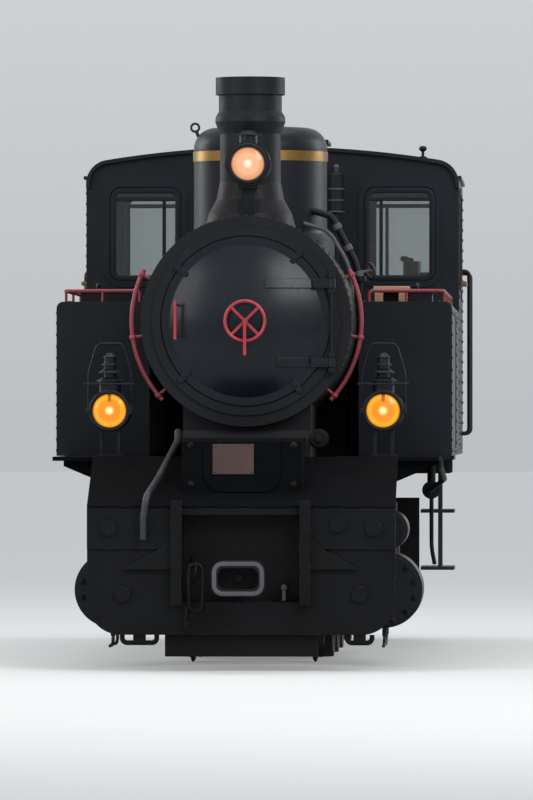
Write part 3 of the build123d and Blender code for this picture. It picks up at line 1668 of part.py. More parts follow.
# Seats at the cab's rear corners
seat_x = (620, 1020)
seat_y = (1460, 1880)
seat_high = 480
seat_thick = 50
seat_lip = 20
with BuildPart() as cab_seats:
    for sign in (-1, 1):
        block(
            (sign * (seat_x[0] + seat_lip), sign * (seat_x[1] - seat_lip)),
            (seat_y[0] + seat_lip, seat_y[1] - seat_lip),
            (cab_floor_z, cab_floor_z + seat_high - seat_thick),
        )
        block(
            (sign * seat_x[0], sign * seat_x[1]),
            seat_y,
            (cab_floor_z + seat_high - seat_thick, cab_floor_z + seat_high),
        )
save(cab_seats, "cab_seats")

# Bunker behind the cab, open at the top
with BuildPart() as bunker:
    bunker_y = (cab_rear_y, bunker_back)
    block((-bunker_half_width, bunker_half_width), bunker_y, (tank_bottom - bunker_skirt, bunker_top))
    block(
        (-bunker_half_width + bunker_wall, bunker_half_width - bunker_wall),
        (bunker_y[0] + bunker_wall, bunker_y[1] - bunker_wall),
        (tank_bottom, bunker_top + 10),
        mode=Mode.SUBTRACT,
    )
    for side, sign in sides:
        block(
            (sign * frame_in, sign * frame_out),
            (cab_rear_y, bunker_back - 20),
            (frame_top, tank_bottom - bunker_skirt),
        )
save(bunker, "bunker")

# Cylinders with their valve chests, bolted to the frames
with BuildPart() as cylinders:
    for side, sign in sides:
        x = sign * cylinder_x
        valve_z = drive_axle_z + valve_rise
        round_y(cylinder_r, x, cylinder_y, drive_axle_z)
        valve_y = (cylinder_y[0] + valve_inset, cylinder_y[1] - valve_inset)
        round_y(valve_r, sign * valve_x, valve_y, valve_z)
        block(
            (sign * frame_out, sign * (cylinder_x + 40)),
            (cylinder_y[0] + 70, cylinder_y[1] - 70),
            (drive_axle_z - 60, valve_z + 60),
        )
        for end, way in ((0, -1), (1, 1)):
            cover_y = cylinder_y[end] + way * cover_thick
            round_y(cylinder_r - cover_inset, x, (cylinder_y[end], cover_y), drive_axle_z)
            valve_cover_y = cylinder_y[end] + way * valve_cover_thick
            round_y(valve_r - valve_cover_inset, sign * valve_x, (valve_y[end] - way, valve_cover_y), valve_z)
        boss_y = cylinder_y[0] - cover_thick
        round_y(cover_boss_r, x, (boss_y - cover_boss_thick, boss_y + 1), drive_axle_z)
        tail_y = cylinder_y[0] - valve_cover_thick - 2 - valve_tail_long
        round_y(valve_tail_r, sign * valve_x, (tail_y, cylinder_y[0] - valve_cover_thick + 1), valve_z)
        for y in (cylinder_y[0] + cock_inset, cylinder_y[1] - cock_inset):
            foot = drive_axle_z - cylinder_r
            round_z(cock_r, x, y, (foot - cock_drop, foot + 20))
save(cylinders, "cylinders")

# Slide bars with the motion bracket, piston rods and crossheads
with BuildPart() as motion:
    for side, sign in sides:
        crosshead_y = crosshead_table[side]
        x = sign * cylinder_x
        bar_x = (sign * (cylinder_x - slide_bar_wide / 2), sign * (cylinder_x + slide_bar_wide / 2))
        upper_z = (drive_axle_z + crosshead_high / 2, drive_axle_z + crosshead_high / 2 + slide_bar_thick)
        lower_z = (drive_axle_z - crosshead_high / 2 - slide_bar_thick, drive_axle_z - crosshead_high / 2)
        block(bar_x, slide_bar_y, upper_z)
        block(bar_x, slide_bar_y, lower_z)
        round_y(gland_r, x, (slide_bar_y[0], slide_bar_y[0] + gland_long), drive_axle_z)
        block(bar_x, (slide_bar_y[0], slide_bar_y[0] + bar_plate_thick), (lower_z[0], upper_z[1]))
        bracket_y = (slide_bar_y[1], slide_bar_y[1] + motion_bracket_thick)
        block(bar_x, bracket_y, (lower_z[0] - bracket_foot, frame_top - bracket_drop))
        block((sign * frame_out, bar_x[1]), bracket_y, (arm_low, frame_top - bracket_drop))
        block(
            (sign * (return_x[0] - 10), sign * (return_x[1] + 30)),
            (bracket_y[0] - 10, bracket_y[1] + 10),
            (drive_axle_z + valve_rise - rod_window, drive_axle_z + valve_rise + rod_window),
            mode=Mode.SUBTRACT,
        )
        block(
            (sign * crosshead_x[0], sign * crosshead_x[1]),
            (crosshead_y - crosshead_long / 2, crosshead_y + crosshead_long / 2),
            (drive_axle_z - crosshead_high / 2, drive_axle_z + crosshead_high / 2),
        )
        round_y(piston_rod_r, x, (slide_bar_y[0], crosshead_y), drive_axle_z)
save(motion, "slide_bars_and_crossheads")

# Valve gear: expansion link on its bracket, radius rod, combination lever and valve spindle
with BuildPart() as valve_gear:
    for side, sign in sides:
        crosshead_y = crosshead_table[side]
        valve_z = drive_axle_z + valve_rise
        link_thick = return_crank_thick - 4
        link_x = (sign * return_x[0], sign * (return_x[0] + link_thick))
        link_front = link_y - link_lean
        link_back = link_front + link_wide
        link_top = link_z + link_half
        link_foot = link_z - link_half
        with BuildSketch(Plane.YZ.offset(link_x[0])) as link:
            with BuildLine():
                front_middle = (link_front + link_bow, link_z)
                back_middle = (link_back + link_bow, link_z)
                ThreePointArc((link_front, link_foot), front_middle, (link_front, link_top))
                Line((link_front, link_top), (link_back, link_top))
                ThreePointArc((link_back, link_top), back_middle, (link_back, link_foot))
                Line((link_back, link_foot), (link_front, link_foot))
            make_face()
            with BuildLine():
                Polyline(
                    (link_y - 30, link_foot + 40),
                    (link_y + 40, link_foot + 40),
                    (link_y + 28, tail_z - 30),
                    (link_y - 28, tail_z - 30),
                    close=True,
                )
            make_face()
        extrude(link.sketch, amount=sign * link_thick)
        arm_y = (link_y + link_arm_y[0], link_y + link_arm_y[1])
        block((sign * frame_out, link_x[0]), arm_y, (arm_low, frame_top - bracket_drop))
        block((sign * (return_x[0] - 60), link_x[0]), arm_y, (link_z - link_arm_drop, arm_low))
        lever_in = cylinder_x + slide_bar_wide / 2 + lever_gap
        lever_x = (sign * lever_in, sign * (lever_in + lever_thick))
        lever_y = crosshead_y - crosshead_long / 2 - 30
        block(
            lever_x,
            (lever_y - lever_half_wide, lever_y + lever_half_wide),
            (drive_axle_z - 40, valve_z + 40),
        )
        block(
            (sign * crosshead_x[1], lever_x[1]),
            (lever_y - 18, crosshead_y),
            (drive_axle_z - 30, drive_axle_z + 6),
        )
        round_y(spindle_r, sign * valve_x, (cylinder_y[1] + valve_cover_thick, lever_y + 30), valve_z)
        block(
            (sign * (valve_x - 14), lever_x[1]),
            (lever_y - 20, lever_y + 20),
            (valve_z - 24, valve_z + 24),
        )
        block(
            (link_x[1], link_x[1] + sign * radius_rod_thick),
            (lever_y, link_y + 20),
            (valve_z - radius_rod_half, valve_z + radius_rod_half),
        )
        block(
            (link_x[1], lever_x[1]),
            (lever_y - 20, lever_y + 20),
            (valve_z - radius_rod_half, valve_z + radius_rod_half),
        )
save(valve_gear, "valve_gear")

# Brake gear: a block behind each coupled wheel on its hanger, cross beams, and the sand pipes to the rails
brake_clear = 6
shoe_thick = 40
shoe_wide = 74
shoe_high = 230
shoe_past_flange = 14
brake_hanger_x = (wheel_face - 40, wheel_face - 12)
brake_hanger_y = (-14, 8)
brake_beam_r = 18
brake_beam_drop = 80
sand_pipe_r = 15
sand_pipe_bend = 60
sand_pipe_points = (
    # x, y, z
    (430, -2140, 925),
    (430, -2140, 420),
    (405, -2085, 110),
)
sand_clip_z = (800, 816)
with BuildPart() as brake_gear:
    for step in range(3):
        axle_y = first_axle_y + step * axle_pitch
        for side, sign in sides:
            with BuildSketch(Plane.YZ.offset(sign * (wheel_back + flange_width + shoe_past_flange))) as shoe:
                with Locations((axle_y, drive_axle_z)):
                    Circle(drive_tread_r + brake_clear + shoe_thick)
                    Circle(drive_tread_r + brake_clear, mode=Mode.SUBTRACT)
                with Locations((axle_y + drive_tread_r + 20, drive_axle_z)):
                    Rectangle(160, shoe_high, mode=Mode.INTERSECT)
            extrude(shoe.sketch, amount=sign * shoe_wide)
            beam_y = axle_y + drive_tread_r + brake_clear + shoe_thick - 6
            stem_y = (beam_y + brake_hanger_y[0], beam_y + brake_hanger_y[1])
            stem_x = (sign * brake_hanger_x[0], sign * brake_hanger_x[1])
            block(stem_x, stem_y, (drive_axle_z - 60, frame_top - 40))
            block((stem_x[0], sign * frame_in), stem_y, (frame_top - 80, frame_top - 40))
        round_x(brake_beam_r, (-wheel_face + 20, wheel_face - 20), beam_y, drive_axle_z - brake_beam_drop)
    for side, sign in sides:
        tube(sand_pipe_r, [(sign * x, y, z) for x, y, z in sand_pipe_points], sand_pipe_bend)
        clip_x, clip_y = sand_pipe_points[0][:2]
        block(
            (sign * clip_x, sign * (frame_in - seat_gap)),
            (clip_y - sand_pipe_r, clip_y + sand_pipe_r),
            sand_clip_z,
        )
save(brake_gear, "brake_gear")

# Steps below the cab doors and behind the front beam
step_heights = (470, 830)
step_x = (900, 1110)
step_thick = 20
step_inset = 20
step_hanger_x = (1010, 1030)
with BuildPart() as steps:
    for side, sign in sides:
        for y in (door_y[0] + step_inset, door_y[1] - step_inset - step_thick):
            block(
                (sign * step_hanger_x[0], sign * step_hanger_x[1]),
                (y, y + step_thick),
                (step_heights[0], tank_bottom),
            )
        for z in step_heights:
            block(
                (sign * step_x[0], sign * step_x[1]),
                (door_y[0] + step_inset, door_y[1] - step_inset),
                (z, z + step_thick),
            )
save(steps, "cab_steps")

# Whistle and safety valves on the firebox
whistle_at = (400, 1080)
whistle_z = (2330, 2700, 2930)
whistle_stem_r = 24
whistle_bell_r = 46
safety_y = 560
safety_base_half = (170, 70)
safety_base_top = 2600
safety_columns = (-90, 90)
safety_column_r = 50
safety_column_top = 2740
safety_cap_r = 30
safety_cap_top = 2800
steam_pipe_r = 20
steam_pipe_y = -970
steam_pipe_points = (
    # x, z
    (300, 2660),
    (430, 2620),
    (565, 2360),
    (600, 2240),
    (586, 2160),
    (586, 2040),
)
steam_flange_r = 42
steam_flange_z = (2236, 2264)
injector_x = 980
injector_y = (1300, 1620)
injector_z = 980
injector_r = 36
injector_flange = (55, 14)
injector_branch_r = 26
with BuildPart() as boiler_fittings:
    tube(steam_pipe_r, [(x, steam_pipe_y, z) for x, z in steam_pipe_points], 60)
    round_z(steam_flange_r, 596, steam_pipe_y, steam_flange_z)
    round_z(dome_r + seat_gap, 0, dome_y, (2400, 2800), mode=Mode.SUBTRACT)
    for sign in (-1, 1):
        x = sign * injector_x
        round_y(injector_r, x, injector_y, injector_z)
        for y, way in ((injector_y[0], 1), (injector_y[1], -1)):
            round_y(injector_flange[0], x, (y, y + way * injector_flange[1]), injector_z)
        round_z(injector_branch_r, x, sum(injector_y) / 2, (injector_z, tank_bottom - seat_gap))
    round_z(whistle_stem_r, *whistle_at, whistle_z[:2])
    round_z(whistle_bell_r, *whistle_at, whistle_z[1:])
    with Locations((*whistle_at, whistle_z[2] + 10)):
        Cone(whistle_bell_r, 14, 20)
    block(
        (-safety_base_half[0], safety_base_half[0]),
        (safety_y - safety_base_half[1], safety_y + safety_base_half[1]),
        (2430, safety_base_top),
    )
    for x in safety_columns:
        round_z(safety_column_r, x, safety_y, (safety_base_top - 5, safety_column_top))
        round_z(safety_cap_r, x, safety_y, (safety_column_top - 5, safety_cap_top))
    round_y(boiler_r + band_thick + seat_gap, 0, (400, 700), boiler_axis_z, mode=Mode.SUBTRACT)
    round_y(boiler_r + seat_gap, 0, (900, 1190), boiler_axis_z, mode=Mode.SUBTRACT)
save(boiler_fittings, "boiler_fittings")

# Air pipe from the saddle down to the beam
air_pipe_r = 20
air_pipe_bend = 60
air_pipe_x = -545
air_pipe_off = 72
air_pipe_end_z = 740
air_clip_half = 12
air_clip_z = (746, 772)
with BuildPart() as air_pipe:
    tube(
        air_pipe_r,
        (
            (-385, -2950, 1345),
            (-385, -3030, 1290),
            (-470, -3420, 1090),
            (-525, -beam_face - air_pipe_off + 10, 985),
            (air_pipe_x, -beam_face - air_pipe_off, 860),
            (air_pipe_x, -beam_face - air_pipe_off, air_pipe_end_z),
        ),
        air_pipe_bend,
    )
    block(
        (air_pipe_x - air_clip_half, air_pipe_x + air_clip_half),
        (-beam_face - air_pipe_off, -beam_face),
        air_clip_z,
    )
save(air_pipe, "air_pipe")
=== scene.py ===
from math import atan, cos, pi, radians, sin

import bpy
from mathutils import Matrix, Vector


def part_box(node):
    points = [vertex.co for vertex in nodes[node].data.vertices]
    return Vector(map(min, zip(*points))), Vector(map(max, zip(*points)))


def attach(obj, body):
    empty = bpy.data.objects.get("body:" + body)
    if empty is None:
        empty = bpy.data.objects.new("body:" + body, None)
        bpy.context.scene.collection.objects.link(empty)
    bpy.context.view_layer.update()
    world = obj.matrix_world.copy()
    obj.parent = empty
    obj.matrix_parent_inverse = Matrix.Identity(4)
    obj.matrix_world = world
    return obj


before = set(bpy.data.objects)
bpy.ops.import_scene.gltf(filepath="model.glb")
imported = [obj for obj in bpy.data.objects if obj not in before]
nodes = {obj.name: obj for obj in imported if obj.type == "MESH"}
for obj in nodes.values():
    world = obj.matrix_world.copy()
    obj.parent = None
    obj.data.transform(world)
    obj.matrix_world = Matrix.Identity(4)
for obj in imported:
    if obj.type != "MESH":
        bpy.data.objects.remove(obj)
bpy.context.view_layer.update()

# Photograph, in pixels: size, focal length, vanishing point of its long lines, and the view in it
PHOTO_WIDTH = 533
PHOTO_HEIGHT = 800
PHOTO_FOCAL = 3082
PHOTO_VANISH = (428, 350)
VIEW_CENTRE = (313, 340)
VIEW_WIDTH = 200
SENSOR = 36

# Camera: metres ahead of the front beam, to the engine's left of its middle, and above the flange tips
CAMERA_AHEAD = 46
CAMERA_ASIDE = 1.86
CAMERA_HEIGHT = 1.373

BOX = {name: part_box(name) for name in nodes}

# Weathering: waves a metre of clouding and grain, and the heights between which road dirt thins out
CLOUD_SCALE = 2.2
GRAIN_SCALE = 38.0
DIRT_HEIGHTS = (0.9, 0.1)
GLASS_IOR = 1.5
# Lit lens, in metres from its middle: where each ring of its glow begins and is full
GLOW_RINGS = ((0.099, 0.084), (0.074, 0.058), (0.03, 0.012))
BURNER_NECK = (0.013, 0.008)
BURNER_TOP = (0.046, 0.058)


# Colour and node helpers
def colour(code):
    """An sRGB hex code as linear red, green and blue, with full alpha."""
    linear = []
    for place in (0, 2, 4):
        value = int(code[place:place + 2], 16) / 255
        linear.append(value / 12.92 if value <= 0.04045 else ((value + 0.055) / 1.055) ** 2.4)
    return (*linear, 1.0)


def put(tree, kind, inputs=(), give=0, **settings):
    """Adds a node with its settings and links, and gives back one of its outputs.

    Its inputs are numbers, hex colours or outputs of other nodes, in the sockets' order or by name.
    """
    node = tree.nodes.new(f"ShaderNode{kind}")
    for key, value in settings.items():
        setattr(node, key, value)
    for key, value in inputs.items() if isinstance(inputs, dict) else enumerate(inputs):
        if isinstance(value, bpy.types.NodeSocket):
            tree.links.new(value, node.inputs[key])
        else:
            node.inputs[key].default_value = colour(value) if isinstance(value, str) else value
    return node.outputs[give] if node.outputs else None


def new_material(name):
    """An empty node material's tree."""
    material = bpy.data.materials.new(name)
    material.use_nodes = True
    material.node_tree.nodes.clear()
    return material.node_tree


def weathered(
    name, paint, shade, dust, dust_share, gloss, bump_mm, edge_mm=4.0, edge=None, metallic=0.0, shine=0.5,
    coat=0.0,
):
    """A finish with cloudy colour, dust on upward faces, road dirt low down and softened edges that show
    wear.

    It is clouded between paint and shade. gloss is the lowest and highest roughness, bump_mm how uneven it
    is, edge the colour that wear shows, on the frame paint also a painted highlight, and shine how
    strongly the bare paint mirrors.
    """
    tree = new_material(name)
    place = put(tree, "TexCoord", give="Object")
    normal = put(tree, "NewGeometry", give="Normal")
    cloud = put(tree, "TexNoise", {"Vector": place, "Scale": CLOUD_SCALE, "Detail": 6.0, "Roughness": 0.6})
    cloud = put(tree, "MapRange", (cloud, 0.38, 0.66))
    fine = put(tree, "TexNoise", {"Vector": place, "Scale": GRAIN_SCALE, "Detail": 4.0, "Roughness": 0.65})
    finished = put(tree, "Mix", {0: cloud, 6: paint, 7: shade}, 2, data_type="RGBA")
    # Dust lies in blotches on faces that look up, and road dirt near the rails
    rise = put(tree, "SeparateXYZ", [normal], "Z")
    upward = put(tree, "MapRange", (rise, 0.35, 1.0, 0.0, dust_share))
    height = put(tree, "SeparateXYZ", [place], "Z")
    low = put(tree, "MapRange", (height, *DIRT_HEIGHTS, 0.0, dust_share * 0.8))
    blotches = put(tree, "MapRange", (fine, 0.35, 0.7, 0.35, 1.0))
    dirt = put(tree, "Math", (upward, low), operation="MAXIMUM")
    dirt = put(tree, "Math", (dirt, blotches), operation="MULTIPLY")
    finished = put(tree, "Mix", {0: dirt, 6: finished, 7: dust}, 2, data_type="RGBA")
    # The bevel rounds the shading of sharp edges, and where it turns the normal most the paint is worn
    soft = put(tree, "Bevel", {"Radius": edge_mm / 1000}, samples=4)
    if edge:
        # Wear shows in the edge colour, which on the frame paint is also a painted highlight
        agreement = put(tree, "VectorMath", (soft, normal), "Value", operation="DOT_PRODUCT")
        wear_and_highlight = put(tree, "MapRange", (agreement, 0.985, 0.9))
        patches = put(tree, "MapRange", (fine, 0.5, 0.62))
        wear_and_highlight = put(tree, "Math", (wear_and_highlight, patches), operation="MULTIPLY")
        finished = put(tree, "Mix", {0: wear_and_highlight, 6: finished, 7: edge}, 2, data_type="RGBA")
    bump = put(tree, "Bump", {"Strength": 0.35, "Distance": bump_mm / 1000, "Height": fine, "Normal": soft})
    rough = put(tree, "MapRange", (fine, 0.3, 0.7, *gloss))
    shader = put(tree, "BsdfPrincipled", {
        "Base Color": finished, "Roughness": put(tree, "Math", (dirt, 0.5, rough), operation="MULTIPLY_ADD"),
        "Metallic": metallic, "Normal": bump, "Specular IOR Level": shine,
        "Coat Weight": coat, "Coat Roughness": 0.15,
    })
    put(tree, "OutputMaterial", {"Surface": shader})


def clear_glass(name, tint, roughness):
    """Flat glass: thin, faintly grey and clear."""
    tree = new_material(name)
    shader = put(tree, "BsdfPrincipled", {
        "Base Color": tint, "Roughness": roughness, "Transmission Weight": 1.0, "IOR": GLASS_IOR,
    })
    put(tree, "OutputMaterial", {"Surface": shader})


def lit_lens(name, centre, rim, glow, ring, heart, necked):
    """Pressed glass of a lit lamp, which glows in rings round the flame at its centre.

    Where it is necked, the burner shows dark above the flame.
    """
    tree = new_material(name)
    place = put(tree, "TexCoord", give="Object")
    way = put(tree, "Mapping", {"Vector": place, "Location": [-value for value in centre]})
    distance = put(tree, "VectorMath", [way], "Value", operation="LENGTH")
    light = rim
    for (outer, inner), tint in zip(GLOW_RINGS, (glow, ring, heart)):
        share = put(tree, "MapRange", (distance, outer, inner))
        light = put(tree, "Mix", {0: share, 6: light, 7: tint}, 2, data_type="RGBA")
    if necked:
        aside = put(tree, "Math", [put(tree, "SeparateXYZ", [way], "X")], operation="ABSOLUTE")
        narrow = put(tree, "MapRange", (aside, *BURNER_NECK))
        above = put(tree, "MapRange", (put(tree, "SeparateXYZ", [way], "Z"), *BURNER_TOP))
        neck = put(tree, "Math", (narrow, above), operation="MULTIPLY")
        light = put(tree, "Mix", {0: neck, 6: light, 7: "3c1e08"}, 2, data_type="RGBA")
    shader = put(tree, "BsdfPrincipled", {
        "Base Color": rim, "Roughness": 0.12, "IOR": GLASS_IOR,
        "Emission Color": light, "Emission Strength": 1.0,
    })
    put(tree, "OutputMaterial", {"Surface": shader})


def pine_boards(name, light, dark):
    """Softwood boards with a dull sheen, grain along X."""
    tree = new_material(name)
    place = put(tree, "TexCoord", give="Object")
    boards = put(tree, "Mapping", {"Vector": place, "Scale": (1.0, 14.0, 14.0)})
    grain = put(tree, "TexNoise", {"Vector": boards, "Scale": 6.0, "Detail": 8.0})
    bump = put(tree, "Bump", {"Strength": 0.3, "Distance": 0.001, "Height": grain})
    tint = put(tree, "Mix", {0: grain, 6: light, 7: dark}, 2, data_type="RGBA")
    shader = put(tree, "BsdfPrincipled", {"Base Color": tint, "Roughness": 0.45, "Normal": bump})
    put(tree, "OutputMaterial", {"Surface": shader})


# Oil-bound black enamel, brushed on steel plate: deep, slightly blue, broad soft reflections
weathered("black_enamel", "0f1218", "161a22", "2e2b28", 0.16, (0.3, 0.42), 0.15, edge="26272a", shine=0.22)
# The same enamel on the smokebox door, rubbed to a gloss
weathered("polished_black", "0f131a", "161b23", "2e2b28", 0.1, (0.22, 0.3), 0.04, edge="26272a", shine=0.27)
# Heat-proof graphite black on the smokebox and chimney: flatter, a little grey
weathered("graphite_black", "101114", "17181c", "2b2825", 0.14, (0.42, 0.56), 0.3, edge="272727", shine=0.2)
# Black paint on the frames and beam, dulled by oil and rust-brown road dirt
# Its pale edge colour is partly worn paint and partly a painted highlight on bolt rims and plate edges
weathered("frame_black", "090a0c", "101113", "1b1919", 0.16, (0.42, 0.58), 0.4, edge="4c4846", shine=0.14)
# The same paint on the apron and footplate, flat with soot
weathered("sooty_black", "08090b", "0e0f11", "141312", 0.12, (0.78, 0.92), 0.4, edge="1f1e1d", shine=0.05)
# The same paint on the frame plates, wheels and brakes, paler with oil and ash from the track
weathered("dusty_black", "131418", "1e1d1e", "4c443d", 0.32, (0.34, 0.52), 0.4, edge="3a3734", shine=0.32)
# Red gloss enamel on the door's handwheel, and a darker red on the rails and handrails
weathered("red_enamel", "b8323f", "a02a36", "7a4a44", 0.1, (0.25, 0.38), 0.1, edge_mm=1.5, coat=0.2)
weathered("darker_red", "8a2c38", "74242f", "6a4a46", 0.25, (0.32, 0.46), 0.1, edge_mm=1.5)
# Dark grey paint on the air pipe, rubbed thin
weathered("pipe_grey", "26272b", "1d1e22", "38342f", 0.2, (0.36, 0.5), 0.2, edge_mm=2.0)
# Rolled brass, dulled by heat and polish
weathered("rolled_brass", "9a7c46", "7c6236", "5c4c34", 0.2, (0.26, 0.4), 0.1, edge_mm=1.5, metallic=1.0)
# Machined steel of the rods, bright with a film of oil
weathered("machined_steel", "8c8d90", "6f6f72", "4c433a", 0.3, (0.22, 0.38), 0.1, edge_mm=2.0, metallic=1.0)
# Bare worn steel of screws, cocks and levers, grey with brown in the hollows
weathered("bare_steel", "4c4d52", "393735", "3a322c", 0.2, (0.35, 0.55), 0.4, edge_mm=3.0, metallic=0.7)
# Steel of the couplers' lips and of the pipes by the dome, dulled by rubbing and heat
# Its pale grey is partly painted highlight: glints on the dome's pipes and whistle rings, and the lips' rims
weathered("rubbed_steel_and_glints", "55565a", "3b3a3b", "332e2a", 0.1, (0.45, 0.6), 0.4, edge_mm=3.0, shine=0.3)
# Cast iron of couplers and pipes, blackened by oil and soot
weathered("blackened_iron", "141518", "1d1c1c", "2c2825", 0.18, (0.45, 0.65), 0.6, edge="34312e", shine=0.14)
# Window panes
clear_glass("drawn_window_glass", "c6cccc", 0.02)
# Varnished pine of seats and arm rests
pine_boards("varnished_pine", "8a6238", "5c3e22")
# Planed pine of the plank, bare and pale
pine_boards("planed_pine", "c8a284", "a87c5c")
# Gunmetal fittings, browned by heat
weathered("gunmetal", "4a423a", "332e2b", "4a4038", 0.25, (0.35, 0.5), 0.2, edge_mm=2.0, metallic=0.8)
# Weathered bronze of the blank plate
weathered("plate_bronze", "58423f", "463634", "4e433c", 0.1, (0.42, 0.56), 0.1, edge_mm=1.5, metallic=0.4)
# White card behind the dial glasses, and the water gauge's tube
weathered("dial_card", "d8d4c8", "ccc7b8", "8a8478", 0.1, (0.3, 0.4), 0.02, edge_mm=0.5, coat=1.0)
clear_glass("tube_glass", "e4ece8", 0.03)
# Pressed glass of an unlit lamp with its silvered reflector behind
weathered("unlit_glass", "9aa0a2", "7c8284", "6a6864", 0.1, (0.05, 0.12), 0.05, metallic=0.7, coat=1.0)


def give_finish(piece, finish):
    """Gives the piece this finish alone."""
    piece.data.materials.clear()
    piece.data.materials.append(bpy.data.materials[finish])


FINISHES = {
    "black_enamel": (
        "boiler steam_dome side_tank_left side_tank_right tank_lid_left tank_lid_right cab_front cab_rear "
        "cab_roof cab_side_left cab_side_right cab_door_left cab_door_right cab_floor bunker headlamp "
        "front_lamps rear_lamps cylinders backhead"
    ),
    "polished_black": "smokebox_door",
    "graphite_black": "smokebox saddle chimney ash_pan boiler_fittings",
    "frame_black": "front_beam rear_beam",
    "sooty_black": "front_apron footplate",
    "dusty_black": (
        "main_frame springs_and_axle_boxes cab_steps brake_gear "
        "wheelset_leading wheelset_middle wheelset_driven wheelset_trailing"
    ),
    "red_enamel": "door_handwheel",
    "darker_red": "smokebox_handrails tank_rails",
    "pipe_grey": "air_pipe",
    "rolled_brass": "dome_band",
    "machined_steel": (
        "coupling_rod_left coupling_rod_right main_rod_left main_rod_right "
        "eccentric_rod_left eccentric_rod_right slide_bars_and_crossheads valve_gear"
    ),
    "blackened_iron": "couplers",
    "drawn_window_glass": "cab_windows",
    "varnished_pine": "cab_seats",
}
for finish, members in FINISHES.items():
    for name in members.split():
        give_finish(nodes[name], finish)


# Ways that pieces look
OUTWARD = Vector((1, 0, 0))
BACKWARD = Vector((0, 1, 0))
UPWARD = Vector((0, 0, 1))


# Modelling helpers
def deselect():
    """Object mode with nothing selected, as every piece starts."""
    if bpy.context.mode != "OBJECT":
        bpy.ops.object.mode_set(mode="OBJECT")
    bpy.ops.object.select_all(action="DESELECT")


def only(*pieces):
    """Selects these pieces alone, the first of them active."""
    deselect()
    for piece in pieces:
        piece.select_set(True)
    bpy.context.view_layer.objects.active = pieces[0]


def edit_all(piece):
    """Edit mode on this piece alone, with all of it selected."""
    only(piece)
    bpy.ops.object.mode_set(mode="EDIT")
    bpy.ops.mesh.select_all(action="SELECT")


def renamed(piece, name):
    """The piece and its mesh under one name."""
    piece.name = name
    piece.data.name = name
    return piece


def placed(name, data):
    """New object of this data, in the scene."""
    item = bpy.data.objects.new(name, data)
    bpy.context.scene.collection.objects.link(item)
    return item


def drawn(name, corners, faces=()):
    """New piece of corners, joined by these faces or else by edges one after another."""
    edges = [] if faces else [(step, step + 1) for step in range(len(corners) - 1)]
    mesh = bpy.data.meshes.new(name)
    mesh.from_pydata(corners, edges, faces)
    return placed(name, mesh)


def settle(piece, name):
    """Names the piece and applies its place, turn and size, so that it sits at the origin."""
    only(piece)
    bpy.ops.object.transform_apply(location=True, rotation=True, scale=True)
    return renamed(piece, name)


def modify(piece, kind, **settings):
    """Adds a modifier with its settings and applies it."""
    only(piece)
    modifier = piece.modifiers.new(kind.lower(), kind)
    for key, value in settings.items():
        setattr(modifier, key, value)
    bpy.ops.object.modifier_apply(modifier=modifier.name)
    return piece


def smooth(piece, angle=35):
    """Shades the piece round, but for edges sharper than the angle in degrees."""
    only(piece)
    bpy.ops.object.shade_smooth_by_angle(angle=radians(angle))
    return piece


def slab(name, low, high, edge=0.003):
    """Plate or bar between two corners, its edges rounded over."""
    low, high = Vector(low), Vector(high)
    deselect()
    bpy.ops.mesh.primitive_cube_add(size=1, location=(low + high) / 2)
    piece = bpy.context.active_object
    piece.scale = [abs(value) for value in high - low]
    settle(piece, name)
    return modify(piece, "BEVEL", width=edge, segments=2)


def turned(name, profile, centre, axis="Z", steps=32):
    """Turned piece: its profile, as radius and distance along the axis, spun round it."""
    across, along = (OUTWARD, UPWARD) if axis == "Z" else (UPWARD, BACKWARD)
    centre = Vector(centre)
    corners = [centre + across * radius + along * way for radius, way in profile]
    piece = drawn(name, corners)
    edit_all(piece)
    bpy.ops.mesh.spin(steps=steps, angle=2 * pi, center=centre, axis=along)
    bpy.ops.mesh.select_all(action="SELECT")
    bpy.ops.mesh.remove_doubles(threshold=0.00005)
    bpy.ops.mesh.normals_make_consistent(inside=False)
    return smooth(piece)


def pipe(name, points, radius, bend=0.0):
    """Round rod or pipe through the points, its corners bent."""
    piece = drawn(name, points)
    if bend:
        edit_all(piece)
        bpy.ops.mesh.select_mode(type="VERT")
        bpy.ops.mesh.select_all(action="DESELECT")
        bpy.ops.object.mode_set(mode="OBJECT")
        for corner in range(1, len(points) - 1):
            piece.data.vertices[corner].select = True
        bpy.ops.object.mode_set(mode="EDIT")
        bpy.ops.mesh.bevel(offset=bend, segments=5, affect="VERTICES", clamp_overlap=True)
    only(piece)
    bpy.ops.object.convert(target="CURVE")
    piece.data.bevel_depth = radius
    piece.data.bevel_resolution = 3
    piece.data.use_fill_caps = True
    bpy.ops.object.convert(target="MESH")
    return smooth(renamed(bpy.context.active_object, name), 50)


def joined(name, pieces):
    """One piece made of several."""
    only(*pieces)
    if len(pieces) > 1:
        bpy.ops.object.join()
    return renamed(bpy.context.active_object, name)


def copies(name, master, places):
    """One piece of the master set down at each matrix; the master itself is deleted."""
    made = []
    for place in places:
        piece = placed(name, master.data.copy())
        piece.data.transform(place)
        made.append(piece)
    bpy.data.objects.remove(master)
    return joined(name, made)


def facing(point, normal):
    """Matrix that sets a master, upright on the origin, at point and looking along normal."""
    return Matrix.Translation(point) @ Vector(normal).to_track_quat("Z", "Y").to_matrix().to_4x4()


def circle(centre, radius, degrees, normal=None):
    """Matrices round a circle across Y at these degrees, looking along normal or else outwards."""
    places = []
    for angle in degrees:
        way = Vector((cos(radians(angle)), 0, sin(radians(angle))))
        places.append(facing(Vector(centre) + way * radius, normal or way))
    return places


def mirrored(points, sign):
    """The points as they are, or on the engine's other side for sign -1."""
    return [(sign * x, y, z) for x, y, z in points]


